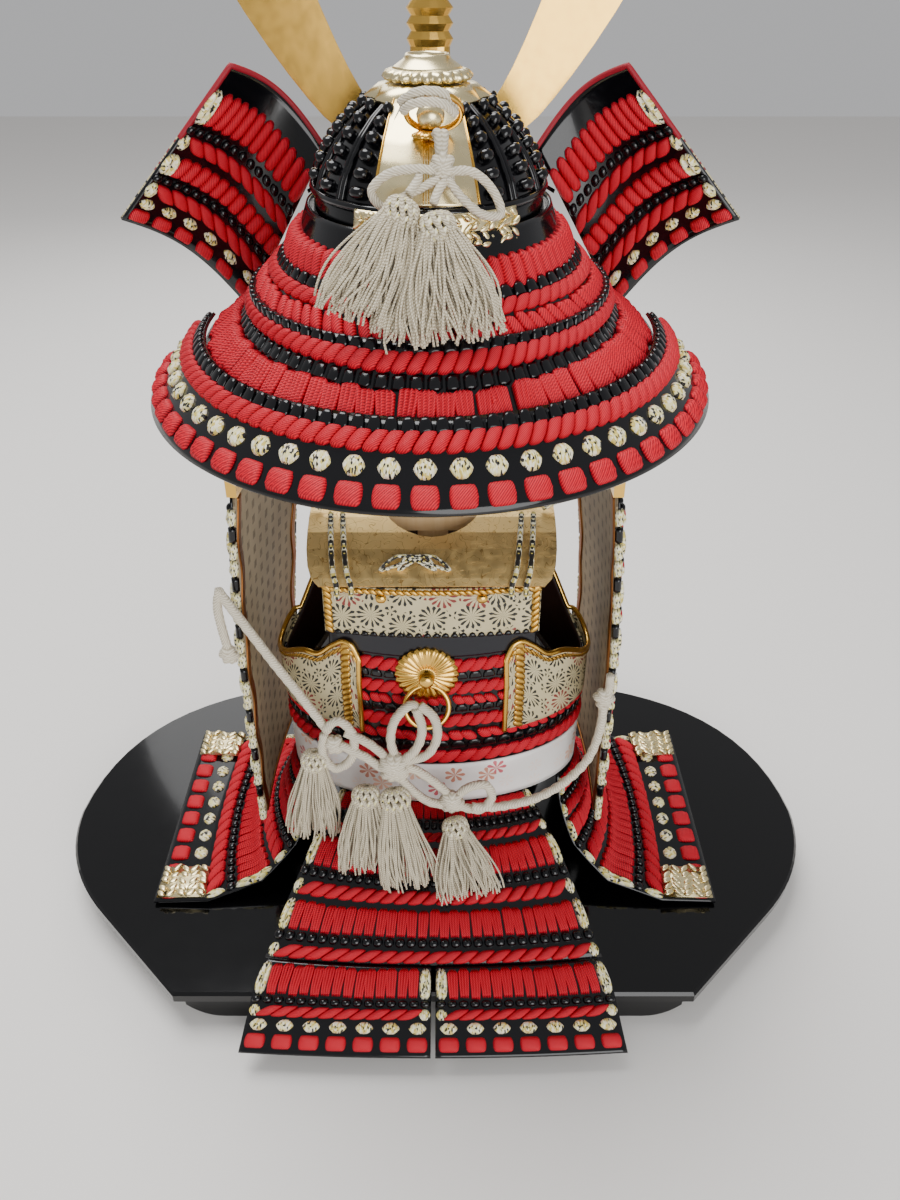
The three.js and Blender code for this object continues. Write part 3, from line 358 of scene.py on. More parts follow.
def planed_wood():
    """Pale cypress for the inner stand: growth lines 4 mm apart, sanded and left without varnish."""
    material, node, shader = new_material("sanded_cypress", "cfae7f", 0.6)
    place = node("TexCoord").outputs["Object"]
    stretched = node("Mapping", place, None, None, (lump_scale(4.0), lump_scale(4.0), lump_scale(40.0)))
    grain = node("TexNoise", stretched, 1.0, 4.0)
    finish(node, shader, node("Mix", grain, "b98f5c", "dcc094", data_type="RGBA"),
           height=grain, relief_mm=0.05)
    return material


CYPRESS = planed_wood()
print("finishes", len(bpy.data.materials))

# %% [markdown]
# The neck guard, skirts and shoulder guards are all made alike: rows of lacquered scale heads,
# twisted braids, long lacing, gold stitches and red knots, each row running between two lines on
# a curved surface. So one Geometry Nodes tree lays any small item in a row on any surface. The
# surface comes in as a grid of points with its outward direction, and the tree bends each copy
# of the item to it, so a row follows a cone or a skirt without gaps.

# %% Geometry Nodes tree: a row of items on a surface


def new_tree(name, *sockets):
    """An empty Geometry Nodes tree with named inputs, what adds nodes to it, and its input values."""
    tree = bpy.data.node_groups.new(name, "GeometryNodeTree")
    tree.interface.new_socket(name="Geometry", in_out="OUTPUT", socket_type="NodeSocketGeometry")
    for label, kind in (("Geometry", "Geometry"), *sockets):
        tree.interface.new_socket(name=label, in_out="INPUT", socket_type="NodeSocket" + kind)
    return tree, partial(add, tree), tree.nodes.new("NodeGroupInput").outputs


def end_tree(node, geometry, material):
    """The last nodes of a tree: everything made real, in its material."""
    real = node("GeometryNodeRealizeInstances", geometry)
    node("NodeGroupOutput", node("GeometryNodeSetMaterial", real, None, material))


def row_tree():
    """Lays Count copies of Item along a grid's rows, bent to the grid."""
    tree, node, value = new_tree(
        "row_on_surface", ("Item", "Object"), ("Columns", "Int"), ("Rows", "Int"), ("Count", "Int"),
        ("Start Across", "Float"), ("End Across", "Float"), ("Start Along", "Float"),
        ("End Along", "Float"), ("Fill", "Float"), ("Height", "Float"), ("Lift", "Float"),
        ("Lean", "Float"), ("Item Size", "Vector"), ("Unevenness", "Float"), ("Seed", "Int"),
        ("Material", "Material"))
    line = node("GeometryNodeMeshLine", value["Count"], None, (0, 0, 0))
    marked = node("GeometryNodeStoreNamedAttribute", line, None, "place",
                  node("GeometryNodeInputIndex"), data_type="INT", domain="POINT")
    item = node("GeometryNodeObjectInfo", value["Item"]).outputs["Geometry"]
    copies = node("GeometryNodeRealizeInstances",
                  node("GeometryNodeInstanceOnPoints", marked, inputs={"Instance": item}))

    spot = node("GeometryNodeInputPosition")
    x, y, z = node("SeparateXYZ", spot).outputs
    place = node("GeometryNodeInputNamedAttribute", "place", data_type="INT")

    def chance(offset, share=1.0):
        """A number for each copy, within half of the row's unevenness or a share of it."""
        seed = node("Math", value["Seed"], offset, operation="ADD")
        pick = node("FunctionNodeRandomValue", data_type="FLOAT", inputs={"ID": place, "Seed": seed})
        centred = node("Math", pick, 0.5, operation="SUBTRACT")
        swing = node("Math", centred, value["Unevenness"], operation="MULTIPLY")
        return node("Math", swing, share, operation="MULTIPLY")

    slant = node("Math", value["Lean"], node("Math", y, 0.5, operation="SUBTRACT"), operation="MULTIPLY")
    sway = node("Math", chance(1.0), node("Math", 1.0, y, operation="SUBTRACT"), operation="MULTIPLY")
    narrowed = node("Math", x, value["Fill"], operation="MULTIPLY")
    moved = node("Math", slant, node("Math", sway, chance(2.0, 0.3), operation="ADD"), operation="ADD")
    spread = node("Math", node("Math", narrowed, 0.5, operation="ADD"), moved, operation="ADD")
    step = node("Math", node("Math", place, spread, operation="ADD"), value["Count"], operation="DIVIDE")
    drop = node("Math", y, chance(3.0, 0.25), operation="ADD")

    def cell(part, start, end, count):
        """The grid cell that a part of the way from start to end falls in, and how far into it."""
        share = node("MapRange", part, None, None, start, end, clamp=False)
        inside = node("Math", node("Math", share, 1.0, operation="MINIMUM"), 0.0, operation="MAXIMUM")
        most = node("Math", count, 1.0, operation="SUBTRACT")
        steps = node("Math", inside, most, operation="MULTIPLY")
        first = node("Math", node("Math", steps, operation="FLOOR"),
                     node("Math", most, 1.0, operation="SUBTRACT"), operation="MINIMUM")
        return first, node("Math", steps, first, operation="SUBTRACT")

    column, column_part = cell(step, value["Start Across"], value["End Across"], value["Columns"])
    row, row_part = cell(drop, value["Start Along"], value["End Along"], value["Rows"])
    corner = node("Math", node("Math", row, value["Columns"], operation="MULTIPLY"), column,
                  operation="ADD")
    below = node("Math", corner, value["Columns"], operation="ADD")

    def on_grid(field):
        """The field between the cell's four corners."""
        edges = []
        for start in (corner, below):
            ends = (node("GeometryNodeSampleIndex", value["Geometry"], field,
                         node("Math", start, offset, operation="ADD"), data_type="FLOAT_VECTOR")
                    for offset in (0.0, 1.0))
            edges.append(node("Mix", column_part, *ends, data_type="VECTOR"))
        return node("Mix", row_part, *edges, data_type="VECTOR")

    ground = on_grid(spot)
    away = on_grid(node("GeometryNodeInputNamedAttribute", "out", data_type="FLOAT_VECTOR"))
    swell = node("Math", 1.0, chance(4.0), operation="ADD")
    tall = node("Math", z, value["Height"], operation="MULTIPLY")
    rise = node("Math", tall, swell, value["Lift"], operation="MULTIPLY_ADD")
    raised = node("VectorMath", ground, node("VectorMath", away, rise, operation="SCALE"), operation="ADD")
    wide, deep, _ = node("SeparateXYZ", value["Item Size"]).outputs
    number = node("Math", node("Math", place, 2.7, operation="MULTIPLY"), value["Seed"], operation="ADD")
    cloth = node("CombineXYZ", node("Math", narrowed, wide, operation="MULTIPLY"),
                 node("Math", y, deep, operation="MULTIPLY"), number)
    kept = node("GeometryNodeStoreNamedAttribute", copies, None, "cloth", cloth,
                data_type="FLOAT_VECTOR", domain="POINT")
    end_tree(node, node("GeometryNodeSetPosition", kept, None, raised), value["Material"])
    return tree


ROW_TREE = row_tree()
print("row tree nodes", len(ROW_TREE.nodes))

# %% [markdown]
# Cords, bow loops, wires and tassel strands are tubes along lines. The second tree turns lines
# into tubes of a given radius, spaces their rings evenly, and raises the crossing strands of a
# braid on them, so a thick cord shows its plaiting in its outline.

# %% Geometry Nodes tree: braided tubes on lines
ARC_STRETCH = 1.57  # how much longer a half circle is than it is wide


def tube_tree():
    """Turns lines into tubes whose strands climb round them both ways."""
    tree, node, value = new_tree(
        "braid_on_lines", ("Radius", "Float"), ("Sides", "Int"), ("Step", "Float"),
        ("Strand Height", "Float"), ("Strands", "Float"), ("Pitch", "Float"), ("Material", "Material"))
    even = node("GeometryNodeResampleCurve", node("GeometryNodeMeshToCurve", value["Geometry"]), None,
                value["Step"], mode="LENGTH")
    measured = node("GeometryNodeStoreNamedAttribute", even, None, "run",
                    node("GeometryNodeSplineParameter").outputs["Length"], data_type="FLOAT", domain="POINT")
    circle = node("GeometryNodeCurvePrimitiveCircle", value["Sides"], value["Radius"])
    turn = node("Math", node("GeometryNodeSplineParameter"), 2 * math.pi, operation="MULTIPLY")
    turned = node("GeometryNodeStoreNamedAttribute", circle, None, "turn", turn,
                  data_type="FLOAT", domain="POINT")
    tube = node("GeometryNodeCurveToMesh", measured, turned, inputs={"Fill Caps": True})
    along = node("GeometryNodeInputNamedAttribute", "run", data_type="FLOAT")
    around = node("GeometryNodeInputNamedAttribute", "turn", data_type="FLOAT")
    climb = node("Math", node("Math", along, 2 * math.pi, operation="MULTIPLY"), value["Pitch"],
                 operation="DIVIDE")
    angle = node("Math", around, value["Strands"], operation="MULTIPLY")
    waves = (node("Math", node("Math", angle, climb, operation=way), operation="SINE")
             for way in ("ADD", "SUBTRACT"))
    crest = node("Math", *waves, operation="MAXIMUM")
    rise = node("Math", crest, value["Strand Height"], operation="MULTIPLY")
    push = node("VectorMath", node("GeometryNodeInputNormal"), rise, operation="SCALE")
    shaped = node("GeometryNodeSetPosition", tube, inputs={"Offset": push})
    spread = node("Math", value["Radius"], ARC_STRETCH / MM, operation="MULTIPLY")
    arc = node("Math", node("Math", around, operation="SINE"), spread, operation="MULTIPLY")
    cloth = node("CombineXYZ", arc, node("Math", along, 1 / MM, operation="MULTIPLY"))
    kept = node("GeometryNodeStoreNamedAttribute", shaped, None, "cloth", cloth,
                data_type="FLOAT_VECTOR", domain="POINT")
    end_tree(node, kept, value["Material"])
    return tree


TUBE_TREE = tube_tree()
print("tube tree nodes", len(TUBE_TREE.nodes))

# %% [markdown]
# A tree's result is read back as plain arrays, so that rows of one finish on one panel become one
# piece. A piece is a closed mesh with the cloth attribute, faces turned outwards, riding on the
# one body, and it names the solids that it stands for.

# %% Helpers for pieces


def linked(name, data):
    """A new object in the scene."""
    made = bpy.data.objects.new(name, data)
    bpy.context.scene.collection.objects.link(made)
    return made


def grow(tree, base, values):
    """Runs a tree on a base mesh and returns the result's points, corners, face sizes and cloth."""
    holder = linked("growing", base)
    modifier = holder.modifiers.new("tree", "NODES")
    modifier.node_group = tree
    for socket in tree.interface.items_tree:
        if socket.in_out == "INPUT" and socket.name in values:
            modifier[socket.identifier] = values[socket.name]
    depsgraph = bpy.context.evaluated_depsgraph_get()
    mesh = bpy.data.meshes.new_from_object(
        holder.evaluated_get(depsgraph), preserve_all_data_layers=True, depsgraph=depsgraph)
    points = np.empty((len(mesh.vertices), 3))
    mesh.vertices.foreach_get("co", points.ravel())
    corners = np.empty(len(mesh.loops), dtype=np.int32)
    mesh.loops.foreach_get("vertex_index", corners)
    totals = np.empty(len(mesh.polygons), dtype=np.int32)
    mesh.polygons.foreach_get("loop_total", totals)
    cloth = np.zeros_like(points)
    mesh.attributes["cloth"].data.foreach_get("vector", cloth.ravel())
    bpy.data.objects.remove(holder)
    bpy.data.meshes.remove(mesh)
    return points, corners, totals, cloth


def turned_out(part):
    """The part with its faces turned outwards, told by the sign of its volume."""
    points, corners, totals, cloth = part
    starts = np.cumsum(totals) - totals
    centre = points.mean(axis=0)
    volume = 0.0
    for sides in np.unique(totals):
        first = starts[totals == sides]
        a = points[corners[first]] - centre
        for step in range(1, sides - 1):
            b = points[corners[first + step]] - centre
            c = points[corners[first + step + 1]] - centre
            volume += np.einsum("ij,ij->i", a, np.cross(b, c)).sum()
    if volume < 0:
        owner = np.repeat(np.arange(len(totals)), totals)
        inside = np.arange(len(corners)) - starts[owner]
        corners = corners[starts[owner] + totals[owner] - 1 - inside]
    return points, corners, totals, cloth


def joined(parts):
    """Several parts as one set of arrays."""
    points, corners, totals, cloth = zip(*parts)
    shifts = np.cumsum([0] + [len(p) for p in points[:-1]])
    corners = [c + shift for c, shift in zip(corners, shifts)]
    return tuple(np.concatenate(arrays) for arrays in (points, corners, totals, cloth))


def part_mesh(name, part):
    """Arrays as a smooth Blender mesh."""
    points, corners, totals, cloth = part
    mesh = bpy.data.meshes.new(name)
    mesh.vertices.add(len(points))
    mesh.vertices.foreach_set("co", points.ravel())
    mesh.loops.add(len(corners))
    mesh.loops.foreach_set("vertex_index", corners.astype(np.int32))
    mesh.polygons.add(len(totals))
    mesh.polygons.foreach_set("loop_start", (np.cumsum(totals) - totals).astype(np.int32))
    mesh.polygons.foreach_set("use_smooth", np.full(len(totals), True))
    mesh.attributes.new("cloth", "FLOAT_VECTOR", "POINT").data.foreach_set("vector", cloth.ravel())
    mesh.update(calc_edges=True)
    mesh.validate()
    return mesh


def piece(name, parts, material, replaces=()):
    """One finished piece of the armour."""
    whole = joined([turned_out(part) for part in parts])
    made = linked(name, part_mesh(name, whole))
    made.data.materials.append(material)
    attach(made, "root")
    if replaces:
        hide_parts(*replaces)
    print(name, int((whole[2] - 2).sum()), "triangles")
    return made


def above(x, y, height):
    """Millimetres, with the height above the board's top, as points in metres."""
    x, y, height = np.broadcast_arrays(np.asarray(x, float), y, height)
    return np.stack([x, y, height + BOARD_TOP], axis=-1) * MM


print("the board's top in metres", above(0, 0, 0)[2])

# %% [markdown]
# A surface is a function of two shares from 0 to 1, across and down. Sampling it gives a grid, its
# outward directions, and its size in millimetres, which carries the pattern.

# %% Surfaces as grids


def grid_faces(rows, columns):
    """A grid's quads, and the loop of points round its rim."""
    ids = np.arange(rows * columns).reshape(rows, columns)
    quads = np.stack([ids[:-1, :-1], ids[:-1, 1:], ids[1:, 1:], ids[1:, :-1]], axis=-1).reshape(-1, 4)
    return quads, np.concatenate([ids[0, :], ids[1:, -1], ids[-1, -2::-1], ids[-2:0:-1, 0]])


def quad_part(points, quads, cloth=None):
    """Points and quads as a part."""
    return (points, quads.ravel().astype(np.int32), np.full(len(quads), 4, dtype=np.int32),
            np.zeros_like(points) if cloth is None else cloth)


class Surface:
    """A sampled surface: point(across, along) in metres, both shares from 0 to 1."""

    def __init__(self, point, columns, rows, towards):
        u, v = np.meshgrid(np.linspace(0, 1, columns), np.linspace(0, 1, rows))
        self.columns, self.rows = columns, rows
        self.points = point(u, v)
        normal = np.cross(np.gradient(self.points, axis=1), np.gradient(self.points, axis=0))
        size = np.linalg.norm(normal, axis=-1, keepdims=True)
        out = normal / (size + 1e-12)
        self.out = -out if (out * towards(self.points)).sum() < 0 else out
        steps_across = np.linalg.norm(np.diff(self.points, axis=1), axis=-1) / MM
        steps_down = np.linalg.norm(np.diff(self.points, axis=0), axis=-1) / MM
        self.width = steps_across.sum(axis=1).max()
        self.length = steps_down.sum(axis=0).mean()
        across = np.concatenate([np.zeros((rows, 1)), np.cumsum(steps_across, axis=1)], axis=1)
        down = np.concatenate([np.zeros((1, columns)), np.cumsum(steps_down, axis=0)], axis=0)
        self.cloth = np.stack([across - across[:, -1:] / 2, down, np.zeros_like(down)], axis=-1)
        self.flat = (self.width * MM, self.length * MM)
        self.area = float(size[:-1, :-1, 0].sum())

    def mesh(self, swapped=False):
        """The grid as a mesh of points that carry their outward direction."""
        points, out = self.points, self.out
        if swapped:
            points, out = points.swapaxes(0, 1), out.swapaxes(0, 1)
        mesh = bpy.data.meshes.new("grid")
        mesh.vertices.add(self.columns * self.rows)
        mesh.vertices.foreach_set("co", points.ravel())
        mesh.attributes.new("out", "FLOAT_VECTOR", "POINT").data.foreach_set("vector", out.ravel())
        return mesh

    def wall(self, outer, inner):
        """A closed wall from outer to inner millimetres off the surface."""
        points = np.concatenate([(self.points + self.out * (off * MM)).reshape(-1, 3)
                                 for off in (outer, inner)])
        quads, rim = grid_faces(self.rows, self.columns)
        behind = self.rows * self.columns
        ahead = np.roll(rim, -1)
        sides = np.stack([ahead, rim, rim + behind, ahead + behind], axis=-1)
        return quad_part(points, np.concatenate([quads, quads[:, ::-1] + behind, sides]),
                         np.concatenate([self.cloth.reshape(-1, 3)] * 2))


print("quads in a grid of 4 by 3 points", len(grid_faces(3, 4)[0]))

# %% [markdown]
# The items of the rows are small closed shapes of a hundred faces at most, drawn once in shares of
# a pitch. Each is a height over a square whose sides an outline draws in: a scale head, a bead, a
# twisted strand, a bundle of four lacing cords, a pair of cords, a curl, a knot, a crossed stitch
# and a flat strip.

# %% Item shapes
ITEM_FLOOR = -0.25


def item(name, columns, rows, height, outline=np.ones_like):
    """A closed item: height(x, y) over a shape whose width follows outline(y)."""
    x, y = np.meshgrid(np.linspace(-0.5, 0.5, columns), np.linspace(0, 1, rows))
    points = np.stack([x * outline(y), y, height(x, y)], axis=-1).reshape(-1, 3)
    quads, rim = grid_faces(rows, columns)
    points[rim, 2] = ITEM_FLOOR
    corners = np.concatenate([quads.ravel(), rim[::-1]]).astype(np.int32)
    totals = np.concatenate([np.full(len(quads), 4), [len(rim)]]).astype(np.int32)
    return linked(name, part_mesh(name, (points, corners, totals, np.zeros_like(points))))


def bulge(amount, power):
    """1 in the middle, 0 at amounts of -1 and 1."""
    return np.clip(1 - np.abs(amount) ** power, 0, None)


def hump(amount, power):
    """A bulge with steep ends."""
    return bulge(amount, power) ** 0.5


def rounded(y, reach):
    """1 along an item, falling to 0 in a quarter circle over the first share of its length."""
    return np.sqrt(np.clip(1 - np.clip(1 - y / reach, 0, 1) ** 2, 0, 1))


def cords(x, count):
    """The humps of cords side by side."""
    return np.abs(np.sin((x + 0.5) * count * math.pi))


ITEMS = {
    "head": item("item_head", 9, 7,
                 lambda x, y: hump(2 * x, 3.2) * rounded(y, 0.45) * (1.1 - 0.4 * y),
                 lambda y: 0.98 * rounded(y, 0.85) + 0.02),
    "bead": item("item_bead", 9, 8,
                 lambda x, y: hump(2 * x, 2) * hump(2 * y - 1, 2),
                 lambda y: 0.12 + 0.88 * hump(2 * y - 1, 2)),
    "twist": item("item_twist", 8, 8,
                  lambda x, y: bulge(2 * x, 2.2) ** 0.6 * hump(2 * y - 1, 3),
                  lambda y: 0.45 + 0.75 * hump(2 * y - 1, 2.5)),
    "lacing": item("item_lacing", 17, 7,
                   lambda x, y: ((0.25 + 0.75 * cords(x, 4) ** 0.7) * rounded(y, 0.24)
                                 * (0.45 + 0.55 * hump(2 * x, 2.2)) * (1 - 0.45 * y)),
                   lambda y: (1.06 - 0.32 * y ** 1.5) * (0.3 + 0.7 * rounded(y, 0.18))),
    "loop": item("item_loop", 9, 8,
                 lambda x, y: cords(x, 2) ** 0.6 * hump(2 * y - 1, 3),
                 lambda y: 0.3 + 0.7 * hump(2 * y - 1, 2.4)),
    "curl": item("item_curl", 8, 8,
                 lambda x, y: hump(2 * x, 2) * (0.2 + 0.8 * hump(2 * y - 0.8, 2.4)),
                 lambda y: 0.6 + 0.5 * bulge(2 * y - 1, 2)),
    "knot": item("item_knot", 15, 8,
                 lambda x, y: (hump(2 * x, 2.4) * hump(2 * y - 1, 2.4)
                               * (0.72 + 0.28 * np.abs(np.sin((x + 0.8 * y) * 4 * math.pi)))),
                 lambda y: 0.74 + 0.26 * bulge(2 * y - 1, 2.5)),
    "cross": item("item_cross", 9, 9,
                  lambda x, y: (hump(2 * x, 2) * hump(2 * y - 1, 2)
                                * (0.55 + 0.45 * np.abs(np.cos(2 * x * math.pi)))),
                  lambda y: 0.28 + 0.72 * bulge(2 * y - 1, 1.5)),
    "strip": item("item_strip", 4, 5, lambda x, y: hump(2 * x, 4)),
}
print("items", {key: len(made.data.polygons) for key, made in ITEMS.items()})

# %% [markdown]
# Three short calls now give everything that is laid or bent: a row of items on a surface, tubes
# along lines, and a smooth line through a few chosen points. A cord could also be a Bezier curve
# with a bevel, but a centripetal spline passes its points without loops, however far apart.

# %% Rows, tubes and smooth lines


def row(surface, kind, pitch, start, end, height, lean=0.0, lift=0.0, uneven=0.0, seed=1,
        side_from=0.0, side_to=1.0, swapped=False, count=None, fill=1.0):
    """A row of items: start and end are shares along the surface, pitch and height millimetres."""
    width, length, columns, rows = surface.width, surface.length, surface.columns, surface.rows
    if swapped:
        width, length, columns, rows = length, width, rows, columns
    count = count or max(1, int(round(width * (side_to - side_from) / pitch)))
    return grow(ROW_TREE, surface.mesh(swapped), {
        "Item": ITEMS[kind], "Columns": columns, "Rows": rows, "Count": count,
        "Start Across": side_from, "End Across": side_to, "Start Along": start, "End Along": end,
        "Fill": fill, "Height": height * MM, "Lift": lift * MM, "Lean": lean,
        "Item Size": (pitch, abs(end - start) * length, 0.0), "Unevenness": uneven, "Seed": seed})


def tubes(lines, radius, sides=8, step=1.2, strand=0.0, strands=4.0, pitch=5.0):
    """Tubes of a radius in millimetres along polylines in metres."""
    mesh = bpy.data.meshes.new("lines")
    points, edges = [], []
    for line in lines:
        first = len(points)
        points.extend(tuple(float(c) for c in p) for p in line)
        edges.extend((first + i, first + i + 1) for i in range(len(line) - 1))
    mesh.from_pydata(points, edges, [])
    return grow(TUBE_TREE, mesh, {
        "Radius": radius * MM, "Sides": sides, "Step": step * MM, "Strand Height": strand * MM,
        "Strands": strands, "Pitch": pitch * MM})


def smooth_line(points, count):
    """A centripetal spline through points in millimetres above the board, in metres."""
    given = np.array([[x, y, h + BOARD_TOP] for x, y, h in points]) * MM
    padded = np.vstack([2 * given[0] - given[1], given, 2 * given[-1] - given[-2]])
    spans = len(given) - 1
    result = []
    for i in range(spans):
        p = padded[i:i + 4]
        knots = np.concatenate([[0], np.cumsum(np.linalg.norm(np.diff(p, axis=0), axis=1) ** 0.5)])
        t = np.linspace(knots[1], knots[2], max(2, count // spans), endpoint=False)[:, None]

        def between(first, second, start, end):
            span = knots[end] - knots[start]
            return (knots[end] - t) / span * first + (t - knots[start]) / span * second

        a = [between(p[k], p[k + 1], k, k + 1) for k in range(3)]
        b = [between(a[k], a[k + 1], k, k + 2) for k in range(2)]
        result.append(between(*b, 1, 2))
    return np.vstack(result + [given[-1:]])


print("helpers ready")

# %% [markdown]
# Two free cords run from the shoulder guards to the bow on the back. Each is a limp braided silk
# cord 5 mm thick that sags between its ends, and both end in the bow's knots.

# %% Free cords
CORD_RADIUS = 2.5
BRAID_ROUND_CORD = dict(sides=12, step=0.9, strand=0.3, strands=4.0, pitch=6.0)
CORD_ROUTES = {
    "left": ((104, 49, 211), (98, 51.5, 202), (90, 53, 188), (80, 54.5, 170), (70, 56, 153),
             (61, 58, 138), (55, 59.5, 128)),
    "right": ((-90, 48, 140), (-90, 51, 130), (-88, 54, 118), (-84, 57, 107), (-76, 60.5, 97.5),
              (-66, 64, 90.5), (-54, 67.5, 86), (-42, 69.5, 84), (-32, 71, 83.5), (-21, 71.5, 84.5)),
}
for side, route in CORD_ROUTES.items():
    line = smooth_line(route, 24)
    cord = piece(f"guard_cord_{side}_braid", [tubes([line], CORD_RADIUS - 0.25, **BRAID_ROUND_CORD)],
                 IVORY_CORD, [f"guard_cord_{side}"])
    tuple(line[0])
    [tuple(p) for p in line]

# %% [markdown]
# Every laced panel is dressed with a few kinds of row, each with its finish, its item and its
# usual measures: pitch and height in millimetres, lean and fill in shares of a pitch. A gold
# stitch is a crossed flecked knot with a dark eye at its middle.

# %% Kinds of row
HEAD_PITCH = 8.0
STITCH_PITCH = 15.3
ROW_KINDS = {
    "heads": ("black", dict(kind="head", pitch=HEAD_PITCH, height=2.0)),
    "beads": ("black", dict(kind="bead")),
    "bars": ("black", dict(kind="strip", pitch=HEAD_PITCH, height=0.8)),
    "eyes": ("black", dict(kind="bead", height=3.1, fill=0.11)),
    "braid": ("red", dict(kind="twist", pitch=7.0, height=2.6, lean=-0.9, uneven=0.12)),
    "lacing": ("red", dict(kind="lacing", height=3.2)),
    "curls": ("red", dict(kind="curl", lean=0.5, uneven=0.5)),
    "knots": ("red", dict(kind="knot", height=3.2, fill=0.80)),
    "stitches": ("flecked", dict(kind="cross", height=2.8, fill=0.72)),
    "cross edging": ("flecked", dict(kind="cross", height=3.2, count=1)),
    "loop edging": ("flecked", dict(kind="loop", height=3.2, count=1)),
}
EYE_REACH = 0.16
PANEL_SILKS = {"red": RED_SILK, "black": BLACK_LACQUER, "flecked": FLECKED_SILK, "gilt": PALE_GILT}


def laid(kind, start, end, **measures):
    """One row between two shares down its panel, with its finish."""
    finish_name, usual = ROW_KINDS[kind]
    return finish_name, {**usual, "start": start, "end": end, **measures}


def gold_stitches(start, end, pitch):
    """A row of crossed stitches and the row of their eyes."""
    middle, reach = (start + end) / 2, EYE_REACH * (end - start)
    return [laid("stitches", start, end, pitch=pitch),
            laid("eyes", middle - reach, middle + reach, pitch=pitch)]


def dressed(surface, rows, first_seed=1):
    """The parts of a panel's rows, by finish."""
    parts = {}
    for number, (finish_name, values) in enumerate(rows):
        parts.setdefault(finish_name, []).append(row(surface, seed=first_seed + number, **values))
    return parts


def laced_panel(name, surface, rows, replaces, wall=(0.0, -1.6), extra=None):
    """A panel: its lacquered wall, and one piece for each finish of its rows."""
    lames = piece(name + "_lames", [surface.wall(*wall)], BLACK_LACQUER, replaces)
    parts = {**dressed(surface, rows), **(extra or {})}
    pieces = [piece(f"{name}_{finish_name}", found, PANEL_SILKS[finish_name])
              for finish_name, found in parts.items()]
    print(name, "laced sheet", [round(v / MM) for v in surface.flat], "mm")


print("kinds of row", len(ROW_KINDS))

# %% [markdown]
# The neck guard is four flaring rows of lacquered scales. Each row is a thin lacquered wall, with
# a row of scale heads at its top edge, a slanting twisted braid below them, and then lacing that
# joins it to the next row. The lowest row ends in gold stitches and red knots over a black edge.

# %% Neck guard
BOWL_HALF_WIDTH = 48.0
BOWL_HALF_DEPTH = 55.0
NECK_GUARD = (
    # top spread, top, bottom spread, bottom, half angle, hollow at the sides, reach under the next
    (4.2, 381.0, 11.6, 360.5, 132.0, 0.0, 4.0),
    (14.4, 362.0, 27.0, 347.0, 127.0, 0.0, 4.0),
    (29.8, 348.5, 51.0, 326.6, 117.0, 1.3, 4.0),
    (53.8, 328.5, 80.5, 302.0, 95.0, 0.0, 0.0),
)
NECK_ROWS = (
    [laid("braid", 0.34, 1.0, pitch=5.6, height=4.6, lean=0.35)],
    [laid("heads", -0.05, 0.25), laid("braid", 0.18, 0.50, pitch=7.2),
     laid("curls", 0.46, 0.98, pitch=6.0, height=2.6, lean=0.8)],
    [laid("heads", -0.04, 0.18), laid("braid", 0.11, 0.40, pitch=7.2, height=3.2),
     laid("bars", 0.37, 0.60), laid("lacing", 0.54, 1.0, pitch=8.2, height=3.4, uneven=0.5, fill=1.12)],
    [laid("heads", -0.03, 0.20), laid("braid", 0.13, 0.39, pitch=7.4, height=3.6),
     *gold_stitches(0.41, 0.65, STITCH_PITCH), laid("knots", 0.68, 0.955, pitch=STITCH_PITCH)],
)


def from_axis(points):
    """Away from the armour's upright middle line."""
    return (points - points.mean(axis=(0, 1)) * np.array([0, 0, 1])) * np.array([1, 1, 0])


def helmet_point(degrees, spread, height):
    """A point round the helmet, so far out from the bowl's rim; 0 degrees is straight behind."""
    turn = np.radians(degrees)
    return above((BOWL_HALF_WIDTH + spread) * np.sin(turn), (BOWL_HALF_DEPTH + spread) * np.cos(turn),
                 height)


def neck_surface(top_spread, top, bottom_spread, bottom, half, hollow, underlap):
    """One flaring row as a surface, longer by the part that reaches under the next row."""
    longer = 1 + underlap / math.hypot(bottom_spread - top_spread, bottom - top)
    flare, drop = (bottom_spread - top_spread) * longer, (bottom - top) * longer

    def point(u, v):
        degrees = (1 - 2 * u) * half
        slope = v ** (1 + hollow * np.sin(np.radians(degrees)) ** 2)
        return helmet_point(degrees, top_spread + slope * flare, top + v * drop)
    return Surface(point, 97, 11, from_axis)


for number, (measures, rows) in enumerate(zip(NECK_GUARD, NECK_ROWS), start=1):
    laced_panel(f"neck_row_{number}", neck_surface(*measures), rows, [f"neck_guard_{number}"])

# %% [markdown]
# The cuirass is a drum of laced lames. Each lame shows a row of twisted braid over a row of black
# scales; below the arms it is covered by printed leather plates with a gilt rim, and a white satin
# sash goes round the waist.

# %% Cuirass
CUIRASS = np.array([  # height, half width, half depth
    (63, 84, 46), (93, 84.5, 47), (120, 85, 48.5), (150, 85, 49.5), (184, 82, 48.5), (216, 80, 47)])
CUIRASS_EDGE = np.array([  # degrees from the middle of the back, height of the upper edge
    (0, 183), (38, 183), (50, 160), (70, 146), (90, 141), (112, 150), (132, 184), (142, 190), (180, 190)])
SIDE_EDGE = np.array([
    (26.5, 166), (29, 173), (32, 175), (37, 171), (44, 162.5), (52, 160.5), (70, 150), (90, 144),
    (112, 152)])
WAIST_BOTTOM, WAIST_TOP, SIDE_BOTTOM, LOWER_TOP, CUIRASS_TOP = 63.0, 93.0, 117.0, 119.5, 183.0
SIDE_SEAM = 91.8


def cuirass_point(degrees, height, out=0.0):
    """A point round the drum, so far out from it; 0 degrees is the middle of the back."""
    turn = np.radians(degrees)
    half_width = np.interp(height, CUIRASS[:, 0], CUIRASS[:, 1]) + out
    half_depth = np.interp(height, CUIRASS[:, 0], CUIRASS[:, 2]) + out
    return above(half_width * np.sin(turn), half_depth * np.cos(turn), height)


